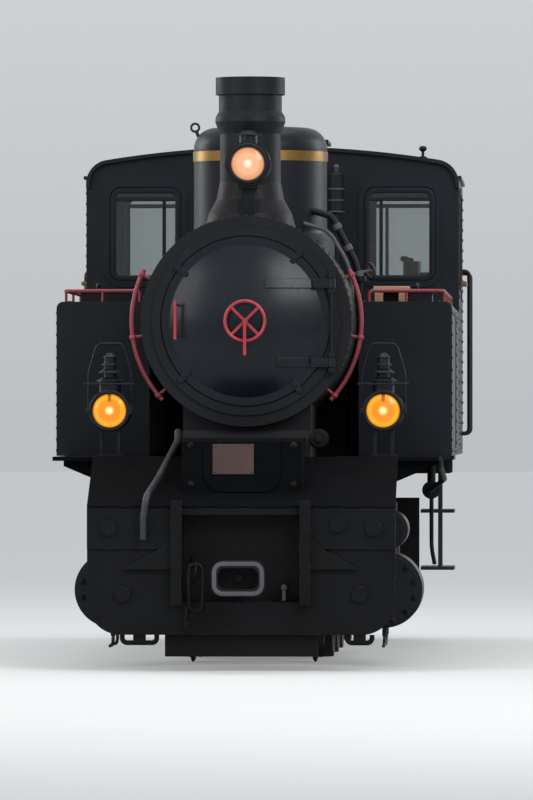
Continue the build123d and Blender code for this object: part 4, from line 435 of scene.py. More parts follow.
def rivet_head(radius, height=0.6):
    """Snap head: the upper half of a ball, flattened, on the origin."""
    deselect()
    bpy.ops.mesh.primitive_uv_sphere_add(segments=10, ring_count=6, radius=radius)
    head = bpy.context.active_object
    edit_all(head)
    bpy.ops.mesh.bisect(plane_co=(0, 0, 0), plane_no=(0, 0, 1), clear_inner=True, use_fill=True)
    head.scale.z = height
    head.location.z = -0.0003
    return smooth(settle(head, "rivet_head"), 50)


def hex_nut(radius, height):
    """Hexagon nut with a washer and a bolt end, on the origin."""
    deselect()
    middle = (0, 0, height / 2 + 0.002)
    bpy.ops.mesh.primitive_cylinder_add(vertices=6, radius=radius, depth=height, location=middle)
    nut = settle(bpy.context.active_object, "nut")
    modify(nut, "BEVEL", width=radius * 0.12, segments=1)
    rim = radius * 1.2
    washer = turned("washer", ((0, 0), (rim, 0), (rim, 0.003), (0, 0.003)), (0, 0, 0), steps=12)
    bolt, top = radius * 0.5, height * 1.5
    profile = ((0, height), (bolt, height), (bolt, height * 1.35), (radius * 0.36, top), (0, top))
    tip = turned("bolt_end", profile, (0, 0, 0), steps=10)
    return joined("hex_nut", [nut, washer, tip])


def dress(piece, finish, body="locomotive"):
    """Gives a piece its finish and its body."""
    give_finish(piece, finish)
    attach(piece, body)
    return piece


def ring(name, centre, toward, major, minor, steps=32):
    """Round ring of rod; toward is the way its hole faces."""
    deselect()
    turn = Vector(toward).to_track_quat("Z", "Y").to_euler()
    bpy.ops.mesh.primitive_torus_add(
        major_radius=major, minor_radius=minor, major_segments=steps, minor_segments=10, location=centre,
        rotation=turn,
    )
    return smooth(settle(bpy.context.active_object, name), 60)


def rod(name, start, end, radius, sides=16):
    """Straight round bar between two points."""
    start, end = Vector(start), Vector(end)
    deselect()
    turn = (end - start).to_track_quat("Z", "Y").to_euler()
    bpy.ops.mesh.primitive_cylinder_add(
        vertices=sides, radius=radius, depth=(end - start).length, location=(start + end) / 2, rotation=turn
    )
    return smooth(settle(bpy.context.active_object, name), 50)


def handwheel(name, centre, toward, radius):
    """Small valve wheel: rim, two bars across and a hub."""
    centre, toward = Vector(centre), Vector(toward).normalized()
    side = toward.orthogonal().normalized()
    pieces = [ring("rim", centre, toward, radius, radius * 0.13, 24)]
    for way in (side, toward.cross(side)):
        pieces.append(rod("bar", centre - way * radius, centre + way * radius, radius * 0.09, 8))
    hub = toward * radius
    pieces.append(rod("hub", centre - hub * 0.6, centre + hub * 0.2, radius * 0.2, 12))
    return joined(name, pieces)


def floor_flange(spot, radius, thick=0.014, bolts=4):
    """Flange on the cab floor at a spot in x and y, with its bolts."""
    centre = Vector((*spot, CAB_FLOOR))
    pieces = [rod("flange", centre, centre + UPWARD * thick, radius, 20)]
    side = UPWARD.orthogonal().normalized()
    for step in range(bolts):
        way = Matrix.Rotation(2 * pi * (step + 0.5) / bolts, 3, UPWARD) @ side
        seat = centre + way * radius * 0.74 - UPWARD * 0.004
        pieces.append(rod("flange_bolt", seat, seat + UPWARD * (thick + 0.012), radius * 0.13, 6))
    return joined("flange", pieces)


def rounded(wide, high, corner, steps=6):
    """Corners of a rounded rectangle round the origin, in order."""
    points = []
    for quarter, (across, up) in enumerate(((1, 1), (-1, 1), (-1, -1), (1, -1))):
        middle_x, middle_z = across * (wide / 2 - corner), up * (high / 2 - corner)
        for step in range(steps + 1):
            angle = (quarter + step / steps) * pi / 2
            points.append((middle_x + corner * cos(angle), middle_z + corner * sin(angle)))
    return points


def window_frame(name, centre, along, wide, high, corner, bar, deep):
    """Frame inside a window's opening, in the plane of along and Z."""
    centre, along = Vector(centre), Vector(along)
    normal = along.cross(UPWARD)
    outer = rounded(wide, high, corner)
    inner = rounded(wide - 2 * bar, high - 2 * bar, max(corner - bar, 0.012))
    count = len(outer)
    corners = []
    for across, up in outer + inner:
        corners.append(centre + along * across + UPWARD * up - normal * deep / 2)
    faces = [(step, (step + 1) % count, count + (step + 1) % count, count + step) for step in range(count)]
    piece = drawn(name, corners, faces)
    edit_all(piece)
    bpy.ops.mesh.extrude_region_move(TRANSFORM_OT_translate={"value": normal * deep})
    bpy.ops.mesh.select_all(action="SELECT")
    bpy.ops.mesh.normals_make_consistent(inside=False)
    return smooth(modify(piece, "BEVEL", width=0.003, segments=2, limit_method="ANGLE"))


# Places read from the frame, in metres
SIDES = (("right", -1), ("left", 1))
BEAM_FACE = BOX["front_beam"][0].y + 0.055
DRUM = BOX["smokebox"]
BOILER_Z = (DRUM[0].z + DRUM[1].z) / 2
BOILER_BACK = BOX["boiler"][1].y
SMOKEBOX_R = (DRUM[1].z - DRUM[0].z) / 2
SMOKEBOX_Y = (DRUM[0].y + 0.148, -1.725)
TANK = BOX["side_tank_left"]
TANK_X = (TANK[0].x, TANK[1].x)
TANK_Y = (TANK[0].y, TANK[1].y)
TANK_Z = (TANK[0].z, 2.103)
CAB_X = TANK_X[1]
CAB_Y = (BOX["cab_floor"][0].y, BOX["cab_floor"][1].y)
CAB_FLOOR = BOX["cab_floor"][1].z
ROOF_SHOULDER = 3.003
ROOF_CROWN = 3.108
BUNKER_X, BUNKER_Y, BUNKER_TOP = BOX["bunker"][1]
LAMP_Z = 1.464
HEADLAMP_Z = 2.878
DOME_Y = (BOX["dome_band"][0].y + BOX["dome_band"][1].y) / 2

# Rivets: head radius, how far a row stands in from a plate's edge, and where inner rows lie
RIVET_R = 0.0105
RIVET_EDGE = 0.032
TANK_STRAP_Y = (-0.315, -0.205)
TANK_STRAP_ROWS = (-0.29, -0.23)
CAB_WAIST = 2.19
DOOR_POST_Y = 2.088
CAB_REAR_ROW = 2.83
WINDOW_HEAD = 2.82
BUNKER_LOW = 1.2
BUNKER_POST_LOW = 1.27
# Degrees round the smokebox drum at which its rows have a rivet
DRUM_STEPS = [-38 + step * 256 / 60 for step in range(61)]


def panel_rivets(side):
    """Places of the rivets on the tank, cab side and bunker of one side."""
    out = Vector((side, 0, 0))
    tank, cab, bunker = side * TANK_X[1], side * CAB_X, side * BUNKER_X
    tank_ends = (TANK_Y[0] + RIVET_EDGE, TANK_Y[1] - RIVET_EDGE)
    bunker_ends = (CAB_Y[1] + RIVET_EDGE, BUNKER_Y - RIVET_EDGE)
    bunker_rows = (BUNKER_LOW, BUNKER_TOP - RIVET_EDGE)
    bunker_post = (BUNKER_POST_LOW, BUNKER_TOP - 0.1)
    places = []

    def row(x, y, z, way, pitch=0.065):
        """One row at about the pitch; x, y and z are each one value or the row's two ends."""
        ends = zip(*[value if isinstance(value, tuple) else (value, value) for value in (x, y, z)])
        start, end = map(Vector, ends)
        count = round((end - start).length / pitch)
        places.extend(facing(start.lerp(end, step / count), way) for step in range(count + 1))

    for z in (TANK_Z[0] + RIVET_EDGE, TANK_Z[1] - 0.065):
        row(tank, tank_ends, z, out)
    for y in tank_ends:
        row(tank, y, (TANK_Z[0] + 0.095, TANK_Z[1] - 0.125), out)
    for y in TANK_STRAP_ROWS:
        row(tank + side * 0.005, y, (TANK_Z[0] + 0.075, TANK_Z[1] - 0.105), out)
    for x in (TANK_X[0] + RIVET_EDGE, TANK_X[1] - 0.073):
        row(side * x, tank_ends, TANK_Z[1], UPWARD, 0.08)
    for z in (CAB_FLOOR + RIVET_EDGE, CAB_WAIST):
        row(cab, (CAB_Y[0] + RIVET_EDGE, DOOR_POST_Y), z, out)
    for y in (CAB_Y[0] + RIVET_EDGE, DOOR_POST_Y, CAB_REAR_ROW):
        row(cab, y, (CAB_FLOOR + 0.1, WINDOW_HEAD), out)
    for z in bunker_rows:
        row(bunker, bunker_ends, z, out)
    for y in bunker_ends:
        row(bunker, y, bunker_post, out)
    row(side * (BUNKER_X - RIVET_EDGE), BUNKER_Y, bunker_rows, BACKWARD)
    row(side * 0.36, BUNKER_Y, bunker_post, BACKWARD)
    for z in bunker_rows:
        row((side * 0.035, side * (BUNKER_X - 0.1)), BUNKER_Y, z, BACKWARD)
    row(side * (CAB_X - 0.062), CAB_Y[1], (2.3, 2.86), BACKWARD)
    return places


def make_rivets():
    """Rivets along the plates' seams and round the smokebox, and the tanks' seam straps."""
    for side, sign in SIDES:
        rivets = copies(f"panel_rivets_{side}", rivet_head(RIVET_R), panel_rivets(sign))
        dress(rivets, "polished_black")
        x = sign * TANK_X[1]
        low = (x - sign * 0.002, TANK_STRAP_Y[0], TANK_Z[0] + 0.012)
        high = (x + sign * 0.005, TANK_STRAP_Y[1], TANK_Z[1] - 0.042)
        dress(slab(f"tank_strap_{side}", low, high), "black_enamel")
    places = []
    for y in SMOKEBOX_Y:
        places += circle((0, y, BOILER_Z), SMOKEBOX_R, DRUM_STEPS)
    dress(copies("smokebox_rivets", rivet_head(RIVET_R), places), "graphite_black")


# Lamps at both ends: x on the left side, face in y, way that it faces along Y, and kind of lit glass
END_LAMPS = {
    "front": (0.78, BOX["front_lamps"][0].y, -1, "amber"),
    "rear": (0.7, BOX["rear_lamps"][1].y, 1, None),
}
LENS_R = 0.1
# Signal-amber glass of the front lamps and clear glass of the headlamp, all lit: colours from the rim
# inwards, and whether the burner's neck shows
LENS_COLOURS = {
    "amber": ("b8660c", "f2a21c", "d9780a", "fff0b0", True),
    "clear": ("7a5038", "dc9a70", "eab088", "fff4e0", False),
}


def lamp_glass(name, centre, toward, kind):
    """Domed lens with bezel, hinge and catch."""
    x, y, z = centre
    finish = "unlit_glass"
    if kind:
        finish = f"{kind}_glass_{name}"
        lit_lens(finish, centre, *LENS_COLOURS[kind])
    # Radius and distance along the way that the lamp faces: a dome, closed at the back
    dome = [(LENS_R * step / 8, 0.004 - 0.018 * (step / 8) ** 2) for step in range(9)]
    rows = [*dome, (LENS_R, -0.024), (0, -0.024)]
    lens = turned(f"{name}_lens", [(radius, toward * along) for radius, along in rows], centre, "Y", 48)
    dress(lens, finish)
    rim = (
        (-0.005, -0.016), (-0.005, 0.004), (0.003, 0.009), (0.014, 0.008), (0.019, 0.002), (0.019, -0.012),
        (-0.005, -0.016),
    )
    bezel = turned("bezel", [(LENS_R + out, toward * along) for out, along in rim], centre, "Y", 48)
    hinge = slab("hinge", (x + 0.113, y - 0.012, z - 0.022), (x + 0.133, y + 0.012, z + 0.022))
    catch = slab("catch", (x - 0.133, y - 0.01, z - 0.014), (x - 0.113, y + 0.012, z + 0.014))
    dress(joined(f"{name}_bezel", [bezel, hinge, catch]), "black_enamel")


def lamp_bail(name, x, face, toward):
    """Carrying handle of a lamp on two lugs, and the visor above the lens."""
    middle = face - toward * 0.085
    edge_y = face + toward * 0.03
    top = LAMP_Z + 0.118
    low = top + 0.028
    corners = ((0.124, LAMP_Z + 0.02), (0.124, top + 0.1), (0.075, top + 0.265))
    points = [(x - off, middle, z) for off, z in corners]
    points += [(x + off, middle, z) for off, z in reversed(corners)]
    pieces = [
        pipe("bail", points, 0.005, 0.03),
        slab("visor_bar", (x - 0.145, edge_y - 0.006, low), (x + 0.145, edge_y + 0.006, top + 0.04)),
    ]
    for side in (-1, 1):
        arm, lug = x + side * 0.09, x + side * 0.118
        lug_top = LAMP_Z + 0.04
        pieces += [
            slab("visor_arm", (arm - 0.006, middle, low), (arm + 0.006, edge_y, top + 0.036)),
            slab("bail_lug", (lug - 0.01, middle - 0.016, LAMP_Z), (lug + 0.01, middle + 0.016, lug_top)),
        ]
    dress(joined(f"{name}_bail", pieces), "black_enamel")


def make_lamps():
    """Lenses, bezels, visor bars and carrying handles of the five lamps."""
    lamp_glass("headlamp", (0, BOX["headlamp"][0].y, HEADLAMP_Z), -1, "clear")
    for side, sign in SIDES:
        for end, (x, face, toward, kind) in END_LAMPS.items():
            lamp_glass(f"{end}_lamp_{side}", (sign * x, face, LAMP_Z), toward, kind)
            lamp_bail(f"{end}_lamp_{side}", sign * x, face, toward)


# Front, in metres: faces of the nose, its raised panel and the plate, the coupler's mouth, plug and hose cock
NOSE_FACE = -3.48
PANEL_FACE = NOSE_FACE - 0.012
PLATE_FACE = PANEL_FACE - 0.008
COUPLER_FACE = -4.05
COUPLER_Z = 0.528
PLUG_X = 0.415
PLUG_Z = 1.303
COCK_X = 0.239
COCK_Z = 0.47
AHEAD = (0, -1, 0)


def make_front():
    """Blank plate and nuts on the nose, the washout plug, and what hangs round the coupler."""
    plate = slab("blank_plate", (-0.165, PLATE_FACE, 1.105), (0.067, PANEL_FACE + 0.001, 1.275), 0.002)
    dress(plate, "plate_bronze")
    screws = [facing((x, PLATE_FACE, z), AHEAD) for x in (-0.15, 0.052) for z in (1.119, 1.261)]
    dress(copies("plate_screws", rivet_head(0.007), screws), "bare_steel")
    nuts = [facing((x, NOSE_FACE, z), AHEAD) for x in (-0.29, 0.29) for z in (1.05, 1.27)]
    dress(copies("nose_nuts", hex_nut(0.016, 0.014), nuts), "frame_black")
    # Washout plug beside the saddle, on an elbow out of its side
    profile = ((0, 0), (0.058, 0), (0.058, -0.018), (0.046, -0.026), (0.046, -0.05), (0, -0.05))
    bends = ((PLUG_X, -2.906, PLUG_Z), (PLUG_X, -2.84, PLUG_Z), (0.36, -2.84, PLUG_Z))
    plug = [
        turned("plug", profile, (PLUG_X, -2.905, PLUG_Z), "Y", 24),
        slab("plug_square", (0.398, -2.985, 1.286), (0.432, -2.95, 1.32)),
        pipe("elbow", bends, 0.03, 0.03),
    ]
    dress(joined("washout_plug", plug), "frame_black")
    # Spare link on its hook at the coupler's right, and a cock for the hose at its left
    hanger = ((-0.25, -3.5, 0.62), (-0.25, -3.66, 0.62), (-0.25, -3.7, 0.56), (-0.262, -3.66, 0.5))
    link = (
        (-0.285, -3.68, 0.6), (-0.215, -3.68, 0.6), (-0.208, -3.69, 0.52), (-0.215, -3.69, 0.34),
        (-0.285, -3.69, 0.34), (-0.292, -3.69, 0.52), (-0.285, -3.68, 0.6),
    )
    pieces = [
        pipe("hanger", hanger, 0.01, 0.02),
        pipe("link", link, 0.011, 0.03),
        pipe("tail", ((-0.3, -3.7, 0.36), (-0.306, -3.7, 0.24)), 0.012),
        slab("link_eye", (-0.312, -3.712, 0.235), (-0.286, -3.688, 0.275)),
        slab("hook_seat", (-0.282, -3.51, 0.59), (-0.218, -3.482, 0.65)),
    ]
    dress(joined("spare_link", pieces), "frame_black")
    cock = [
        rod("cock_body", (COCK_X, -3.482, COCK_Z), (COCK_X, -3.6, COCK_Z), 0.018),
        slab("cock_handle", (0.228, -3.612, 0.395), (0.25, -3.598, 0.487), 0.004),
        rod("cock_pin", (COCK_X, -3.59, COCK_Z), (COCK_X, -3.63, COCK_Z), 0.01),
    ]
    dress(joined("hose_cock", cock), "bare_steel")
    # Lip of each coupler's mouth, worn bare where the links rub; its pale grey is partly a painted highlight
    for end, sign in (("front", 1), ("rear", -1)):
        mouth = (0, sign * COUPLER_FACE, COUPLER_Z)
        lip = window_frame(f"{end}_coupler_lip", mouth, OUTWARD, 0.29, 0.19, 0.06, 0.024, 0.004)
        dress(lip, "rubbed_steel_and_glints")


# Tank tops, pipes and roof
def make_tank_tops():
    """The plank that lies on two blocks across the left tank's front."""
    low = TANK_Z[1]
    pieces = [slab("plank", (0.692, -1.6, low + 0.062), (0.905, -1.43, low + 0.092), 0.004)]
    for x in (0.7, 0.84):
        pieces.append(slab("plank_rest", (x, -1.59, low + 0.0005), (x + 0.05, -1.44, low + 0.0625)))
    dress(joined("tool_plank", pieces), "planed_pine")


def roof_height(x):
    """Height of the roof's arch at x."""
    rise = ROOF_CROWN - ROOF_SHOULDER
    arch_r = (CAB_X ** 2 + rise ** 2) / (2 * rise)
    return ROOF_CROWN - arch_r + (arch_r ** 2 - x ** 2) ** 0.5


# By the dome: the steam pipe's y, its unions as x, z and the pipe's way there, the valve's wheel, and the
# whistle's x and y with the heights of its rings
STEAM_PIPE_Y = -0.97
UNIONS = (
    (0.462, 2.559, (0.461, 0, -0.887)), (0.527, 2.433, (0.461, 0, -0.887)), (0.589, 2.278, (0.28, 0, -0.96)),
)
STEAM_WHEEL = (0.66, -0.9, 2.3)
WHISTLE = (0.4, 1.08)
WHISTLE_RINGS = (2.7, 2.77, 2.84)
DRAIN_PIPE = (
    (0.262, -1.022, 2.58), (0.42, -1.06, 2.53), (0.53, -1.07, 2.34), (0.555, -1.07, 2.2),
    (0.545, -1.07, 2.02),
)
# Injector pipes of the left side: radius and points
INJECTOR_PIPES = {
    "feed": (0.016, (
        (0.98, 1.31, 0.98), (0.98, 1.1, 0.98), (1.07, 0.95, 1.05), (1.07, -0.6, 1.14), (1.07, -0.75, 1.203),
    )),
    "overflow": (0.013, ((0.98, 1.5, 0.96), (0.98, 1.5, 0.62), (1.0, 1.46, 0.52))),
}
ROOF_KNOB = (0.93, 1.3)


def make_pipes():
    """Pipes and valve by the dome, injector pipes, and fittings of whistle, roof and dome."""
    pieces = [
        pipe("drain_pipe", DRAIN_PIPE, 0.012, 0.05),
        handwheel("steam_valve_wheel", STEAM_WHEEL, (0.8, 0.55, 0.2), 0.045),
        rod("valve_stem", (0.575, -0.958, 2.278), STEAM_WHEEL, 0.01),
    ]
    for x, z, way in UNIONS:
        middle = Vector((x, STEAM_PIPE_Y, z))
        half = Vector(way) * 0.017
        pieces.append(rod("union", middle - half, middle + half, 0.0275, 8))
    for z in WHISTLE_RINGS:
        pieces.append(ring("whistle_ring", (*WHISTLE, z), UPWARD, 0.0455, 0.0055))
    knob = (
        (0, 0.045), (0.012, 0.042), (0.019, 0.028), (0.014, 0.014), (0.01, 0.006), (0.016, -0.004),
        (0, -0.004),
    )
    pieces.append(turned("whistle_knob", knob, (*WHISTLE, 2.95), "Z", 16))
    # Their pale steel is partly bare metal and partly painted glints on the pipe, unions and whistle rings
    dress(joined("dome_pipes", pieces), "rubbed_steel_and_glints")
    for side, sign in SIDES:
        pieces = []
        for name, (radius, points) in INJECTOR_PIPES.items():
            pieces.append(pipe(name, mirrored(points, sign), radius, 0.04))
        dress(joined(f"injector_pipes_{side}", pieces), "blackened_iron")
    profile = (
        (0, 0.075), (0.018, 0.072), (0.026, 0.058), (0.018, 0.044), (0.009, 0.038), (0.009, 0.012),
        (0.026, 0.006), (0.026, -0.02), (0, -0.02),
    )
    spot = (*ROOF_KNOB, roof_height(ROOF_KNOB[0]))
    dress(turned("roof_knob", profile, spot, "Z", 16), "black_enamel")
    eye = ring("dome_eye", (-0.39, DOME_Y, 3.155), BACKWARD, 0.024, 0.007, 20)
    stem = rod("dome_eye_stem", (-0.37, DOME_Y, 3.1), (-0.385, DOME_Y, 3.14), 0.01)
    dress(joined("dome_lifting_eye", [eye, stem]), "black_enamel")


# Cab, in metres: openings of its windows, thickness of its wall, and half a glazing bar
WINDOW_X = (0.565, 1.01)
WINDOW_Z = (2.272, 2.858)
SIDE_WINDOW_Y = (1.42, 1.98)
SIDE_WINDOW_Z = (2.25, 2.82)
WINDOW_CORNER = 0.07
CAB_WALL = 0.03
BAR = 0.011


def span(limits):
    """Middle and length between two limits."""
    return (limits[0] + limits[1]) / 2, limits[1] - limits[0]


def make_windows():
    """Sashes with glazing bars, and the side windows' trim and arm rests."""
    (middle_x, wide), (middle_z, high) = span(WINDOW_X), span(WINDOW_Z)
    (side_y, side_wide), (side_z, side_high) = span(SIDE_WINDOW_Y), span(SIDE_WINDOW_Z)
    for side, sign in SIDES:
        x = sign * middle_x
        left, right, upright = x - wide / 2 + 0.02, x + wide / 2 - 0.02, x - sign * 0.115
        for end, y in (("front", CAB_Y[0] + CAB_WALL / 2), ("rear", CAB_Y[1] - CAB_WALL / 2)):
            size = (wide + 0.001, high + 0.001, WINDOW_CORNER, 0.04, 0.026)
            pieces = [
                window_frame("sash", (x, y, middle_z), OUTWARD, *size),
                slab("bar", (left, y - BAR, 2.77), (right, y + BAR, 2.796)),
                slab("bar", (upright - BAR, y - BAR, WINDOW_Z[0] + 0.02), (upright + BAR, y + BAR, 2.78)),
            ]
            dress(joined(f"{end}_window_sash_{side}", pieces), "black_enamel")
        trim = window_frame(
            f"side_window_trim_{side}", (sign * (CAB_X + 0.004), side_y, side_z), BACKWARD,
            side_wide + 0.07, side_high + 0.07, 0.1, 0.036, 0.012,
        )
        dress(trim, "black_enamel")
        rest = slab(
            f"arm_rest_{side}",
            (sign * (CAB_X - 0.045), SIDE_WINDOW_Y[0] + 0.01, SIDE_WINDOW_Z[0] + 0.001),
            (sign * (CAB_X + 0.045), SIDE_WINDOW_Y[1] - 0.01, SIDE_WINDOW_Z[0] + 0.028), 0.008,
        )
        dress(rest, "varnished_pine")


# Dials: name, x and z, and the degrees from the top at which their marks stand
DIALS = (("right", -0.15, 2.38), ("middle", 0.0, 2.44), ("left", 0.15, 2.38))
DIAL_MARKS = [-130 + step * 260 / 8 for step in range(9)]


def make_dials():
    """Pressure dials: brass rim, plain card with nine marks, and a needle."""
    y = BOILER_BACK + 0.08
    profile = ((0.046, 0.0), (0.064, 0.0), (0.066, 0.008), (0.06, 0.016), (0.05, 0.016), (0.046, 0.0))
    card = ((0, 0.0006), (0.05, 0.0006), (0.05, 0.003), (0, 0.003))
    for spot, x, z in DIALS:
        dress(turned(f"dial_rim_{spot}", profile, (x, y, z), "Y", 28), "rolled_brass")
        dress(turned(f"dial_card_{spot}", card, (x, y, z), "Y", 28), "dial_card")
        low, high = (x - 0.0025, y + 0.004, z - 0.006), (x + 0.0025, y + 0.006, z + 0.036)
        pieces = [slab("needle", low, high, 0.0008)]
        for mark in DIAL_MARKS:
            way = Vector((sin(radians(mark)), 0, cos(radians(mark))))
            start = Vector((x, y + 0.0035, z)) + way * 0.036
            pieces.append(rod("mark", start, start + way * 0.008, 0.0012, 6))
        dress(joined(f"dial_needle_{spot}", pieces), "graphite_black")


# Backhead: how far out the gauge glasses stand, and the radius of the circle of studs
GAUGE_X = 0.23
STUD_CIRCLE = 0.525


def make_backhead():
    """Gauge glasses, valves, fire-door rim, studs and lubricator."""
    face = BOILER_BACK + 0.03
    cock_y = face + 0.06
    pieces = []
    for side, sign in SIDES:
        x = sign * GAUGE_X
        glass = rod(f"gauge_glass_{side}", (x, face + 0.07, 2.02), (x, face + 0.07, 2.22), 0.0165)
        dress(glass, "tube_glass")
        for z in (1.99, 2.25):
            near, far = (x + sign * 0.02, cock_y, z), (x + sign * 0.05, cock_y, z)
            pieces.append(handwheel("cock_wheel", (x + sign * 0.055, cock_y, z), (sign, 0, 0), 0.024))
            pieces.append(rod("cock_stem", near, far, 0.008))
    for x in (-0.36, -0.3, 0.3, 0.36):
        pieces.append(rod("valve_body", (x, face - 0.001, 2.12), (x, face + 0.07, 2.12), 0.018))
        pieces.append(handwheel("valve_wheel", (x, face + 0.085, 2.12), BACKWARD, 0.034))
    dress(joined("backhead_valves", pieces), "gunmetal")
    profile = ((0.19, 0.0), (0.225, 0.0), (0.225, 0.03), (0.205, 0.045), (0.19, 0.03), (0.19, 0.0))
    latch = ((0.1, face + 0.036, 1.66), (0.1, face + 0.09, 1.66), (0.19, face + 0.1, 1.7))
    pieces = [
        turned("fire_rim", profile, (0, face - 0.001, 1.66), "Y", 40),
        slab("fire_strap", (-0.19, face + 0.031, 1.645), (0.21, face + 0.04, 1.675)),
        pipe("fire_latch", latch, 0.01, 0.02),
    ]
    dress(joined("fire_door_rim", pieces), "blackened_iron")
    studs = circle((0, face, BOILER_Z), STUD_CIRCLE, range(-10, 200, 10), BACKWARD)
    dress(copies("backhead_studs", hex_nut(0.014, 0.012), studs), "blackened_iron")
    # Lubricator on its shelf, with two oil pipes that run forward through the cab's front
    pieces = [
        slab("lubricator", (0.4, face - 0.02, 2.3), (0.52, face + 0.09, 2.46), 0.01),
        slab("lubricator_shelf", (0.38, 1.3, 2.27), (0.54, face + 0.09, 2.302)),
        slab("shelf_arm", (0.44, 1.235, 2.27), (0.48, 1.32, 2.3)),
    ]
    for x, high in ((0.43, 2.62), (0.47, 2.66)):
        points = (
            (x, face + 0.03, 2.46), (x, face + 0.03, high), (x - 0.13, face - 0.02, high + 0.04),
            (x - 0.13, CAB_Y[0] + 0.035, high + 0.04),
        )
        pieces.append(pipe("oil_pipe", points, 0.006, 0.04))
    dress(joined("lubricator", pieces), "gunmetal")


# Controls: x of the reversing lever, and x and y of the two brakes
LEVER_X = -0.72
BRAKE_STAND = (0.86, 1.4)
HAND_BRAKE = (-0.34, 2.7)


def make_controls():
    """Reversing lever, brake stand and hand brake, on the cab floor."""
    floor = CAB_FLOOR - 0.001
    pieces = [
        rod("reversing_lever", (LEVER_X, 1.62, floor), (LEVER_X, 1.44, 2.18), 0.014),
        rod("lever_grip", (LEVER_X, 1.465, 2.02), (LEVER_X, 1.435, 2.2), 0.022),
        slab("lever_sector", (-0.745, 1.36, 1.66), (-0.735, 1.74, 1.72)),
    ]
    for y in (1.38, 1.68):
        pieces.append(slab("sector_leg", (-0.746, y, floor), (-0.734, y + 0.04, 1.68)))
    dress(joined("reversing_lever", pieces), "bare_steel")
    air_pipe = ((0.9, 1.4, 2.32), (1.02, 1.4, 2.32), (1.05, 1.4, 2.1), (1.05, 1.4, floor))
    pieces = [
        rod("brake_column", (*BRAKE_STAND, floor), (*BRAKE_STAND, 2.3), 0.028),
        rod("brake_head", (*BRAKE_STAND, 2.26), (*BRAKE_STAND, 2.4), 0.055),
        rod("brake_handle", (*BRAKE_STAND, 2.41), (0.8, 1.58, 2.42), 0.011),
        rod("brake_grip", (0.82, 1.53, 2.418), (0.8, 1.6, 2.42), 0.017),
        floor_flange(BRAKE_STAND, 0.07),
        pipe("brake_air_pipe", air_pipe, 0.012, 0.04),
    ]
    dress(joined("brake_stand", pieces), "gunmetal")
    pieces = [
        rod("hand_brake", (*HAND_BRAKE, floor), (*HAND_BRAKE, 2.02), 0.022),
        rod("hand_brake_bar", (-0.45, 2.7, 2.03), (-0.23, 2.7, 2.03), 0.011),
        rod("hand_brake_grip", (-0.24, 2.7, 2.02), (-0.24, 2.7, 2.13), 0.014),
        floor_flange(HAND_BRAKE, 0.06),
    ]
    dress(joined("hand_brake", pieces), "blackened_iron")


# Running gear, in metres and degrees at rest
AXLE_Z = 0.438
CRANK_THROW = 0.2
CRANK_ANGLE = {"right": -45, "left": -135}
FIRST_AXLE_Y = -1.69
AXLE_PITCH = 0.95
COUPLING_OUT = 0.655
CYLINDER_X = 0.78
CYLINDER_Y = (-2.58, -2.07)
# Stud circles on cylinder cover and valve chest: count, radius, middle in x and z, and face
STUD_CIRCLES = (
    (12, 0.178, CYLINDER_X, AXLE_Z, CYLINDER_Y[0] - 0.03),
    (6, 0.078, 0.805, AXLE_Z + 0.345, CYLINDER_Y[0] + 0.002),
)


def make_running_gear():
    """Crank-pin nuts, oil cups on the rods, and the cylinders' studs and drain pipes."""
    cup = ((0, 0), (0.016, 0), (0.016, 0.022), (0.012, 0.026), (0.012, 0.034), (0, 0.036))
    for side, sign in SIDES:
        angle = radians(CRANK_ANGLE[side])
        z = AXLE_Z + CRANK_THROW * sin(angle)
        cups = []
        for step, body in enumerate(("leading_wheels", "middle_wheels", None)):
            y = FIRST_AXLE_Y + step * AXLE_PITCH + CRANK_THROW * cos(angle)
            cups.append(turned("oil_cup", cup, (sign * (COUPLING_OUT - 0.02), y, z + 0.066), "Z", 12))
            if body:
                seat = facing((sign * (COUPLING_OUT + 0.0138), y, z), (sign, 0, 0))
                nut = copies(f"crank_pin_nut_{body}_{side}", hex_nut(0.03, 0.02), [seat])
                dress(nut, "machined_steel", body)
        dress(joined(f"coupling_rod_oil_cups_{side}", cups), "rolled_brass", f"coupling_rod_{side}")
        studs = []
        for count, radius, x, z, y in STUD_CIRCLES:
            degrees = [360 * (step + 0.5) / count for step in range(count)]
            studs += circle((sign * x, y, z), radius, degrees, AHEAD)
        dress(copies(f"cylinder_studs_{side}", hex_nut(0.015, 0.014), studs), "frame_black")
        x, foot = sign * CYLINDER_X, AXLE_Z - 0.266
        low = foot - 0.05
        pieces = []
        for y in (CYLINDER_Y[0] + 0.06, CYLINDER_Y[1]):
            points = ((x, y, foot + 0.004), (x, y, foot - 0.03), (x, y - 0.1, low), (x, y - 0.3, low))
            pieces.append(pipe("cock_pipe", points, 0.01, 0.025))
        dress(joined(f"cylinder_cocks_{side}", pieces), "pipe_grey")


# Rungs and grab rails behind the bunker: heights, and how far out they stand
RUNG_HEIGHTS = (1.36, 1.66, 1.96)
RUNG_OUT = 0.075
GRAB_X = 1.02
GRAB_OUT = 0.06
GRAB_HEIGHTS = (1.45, 2.1)


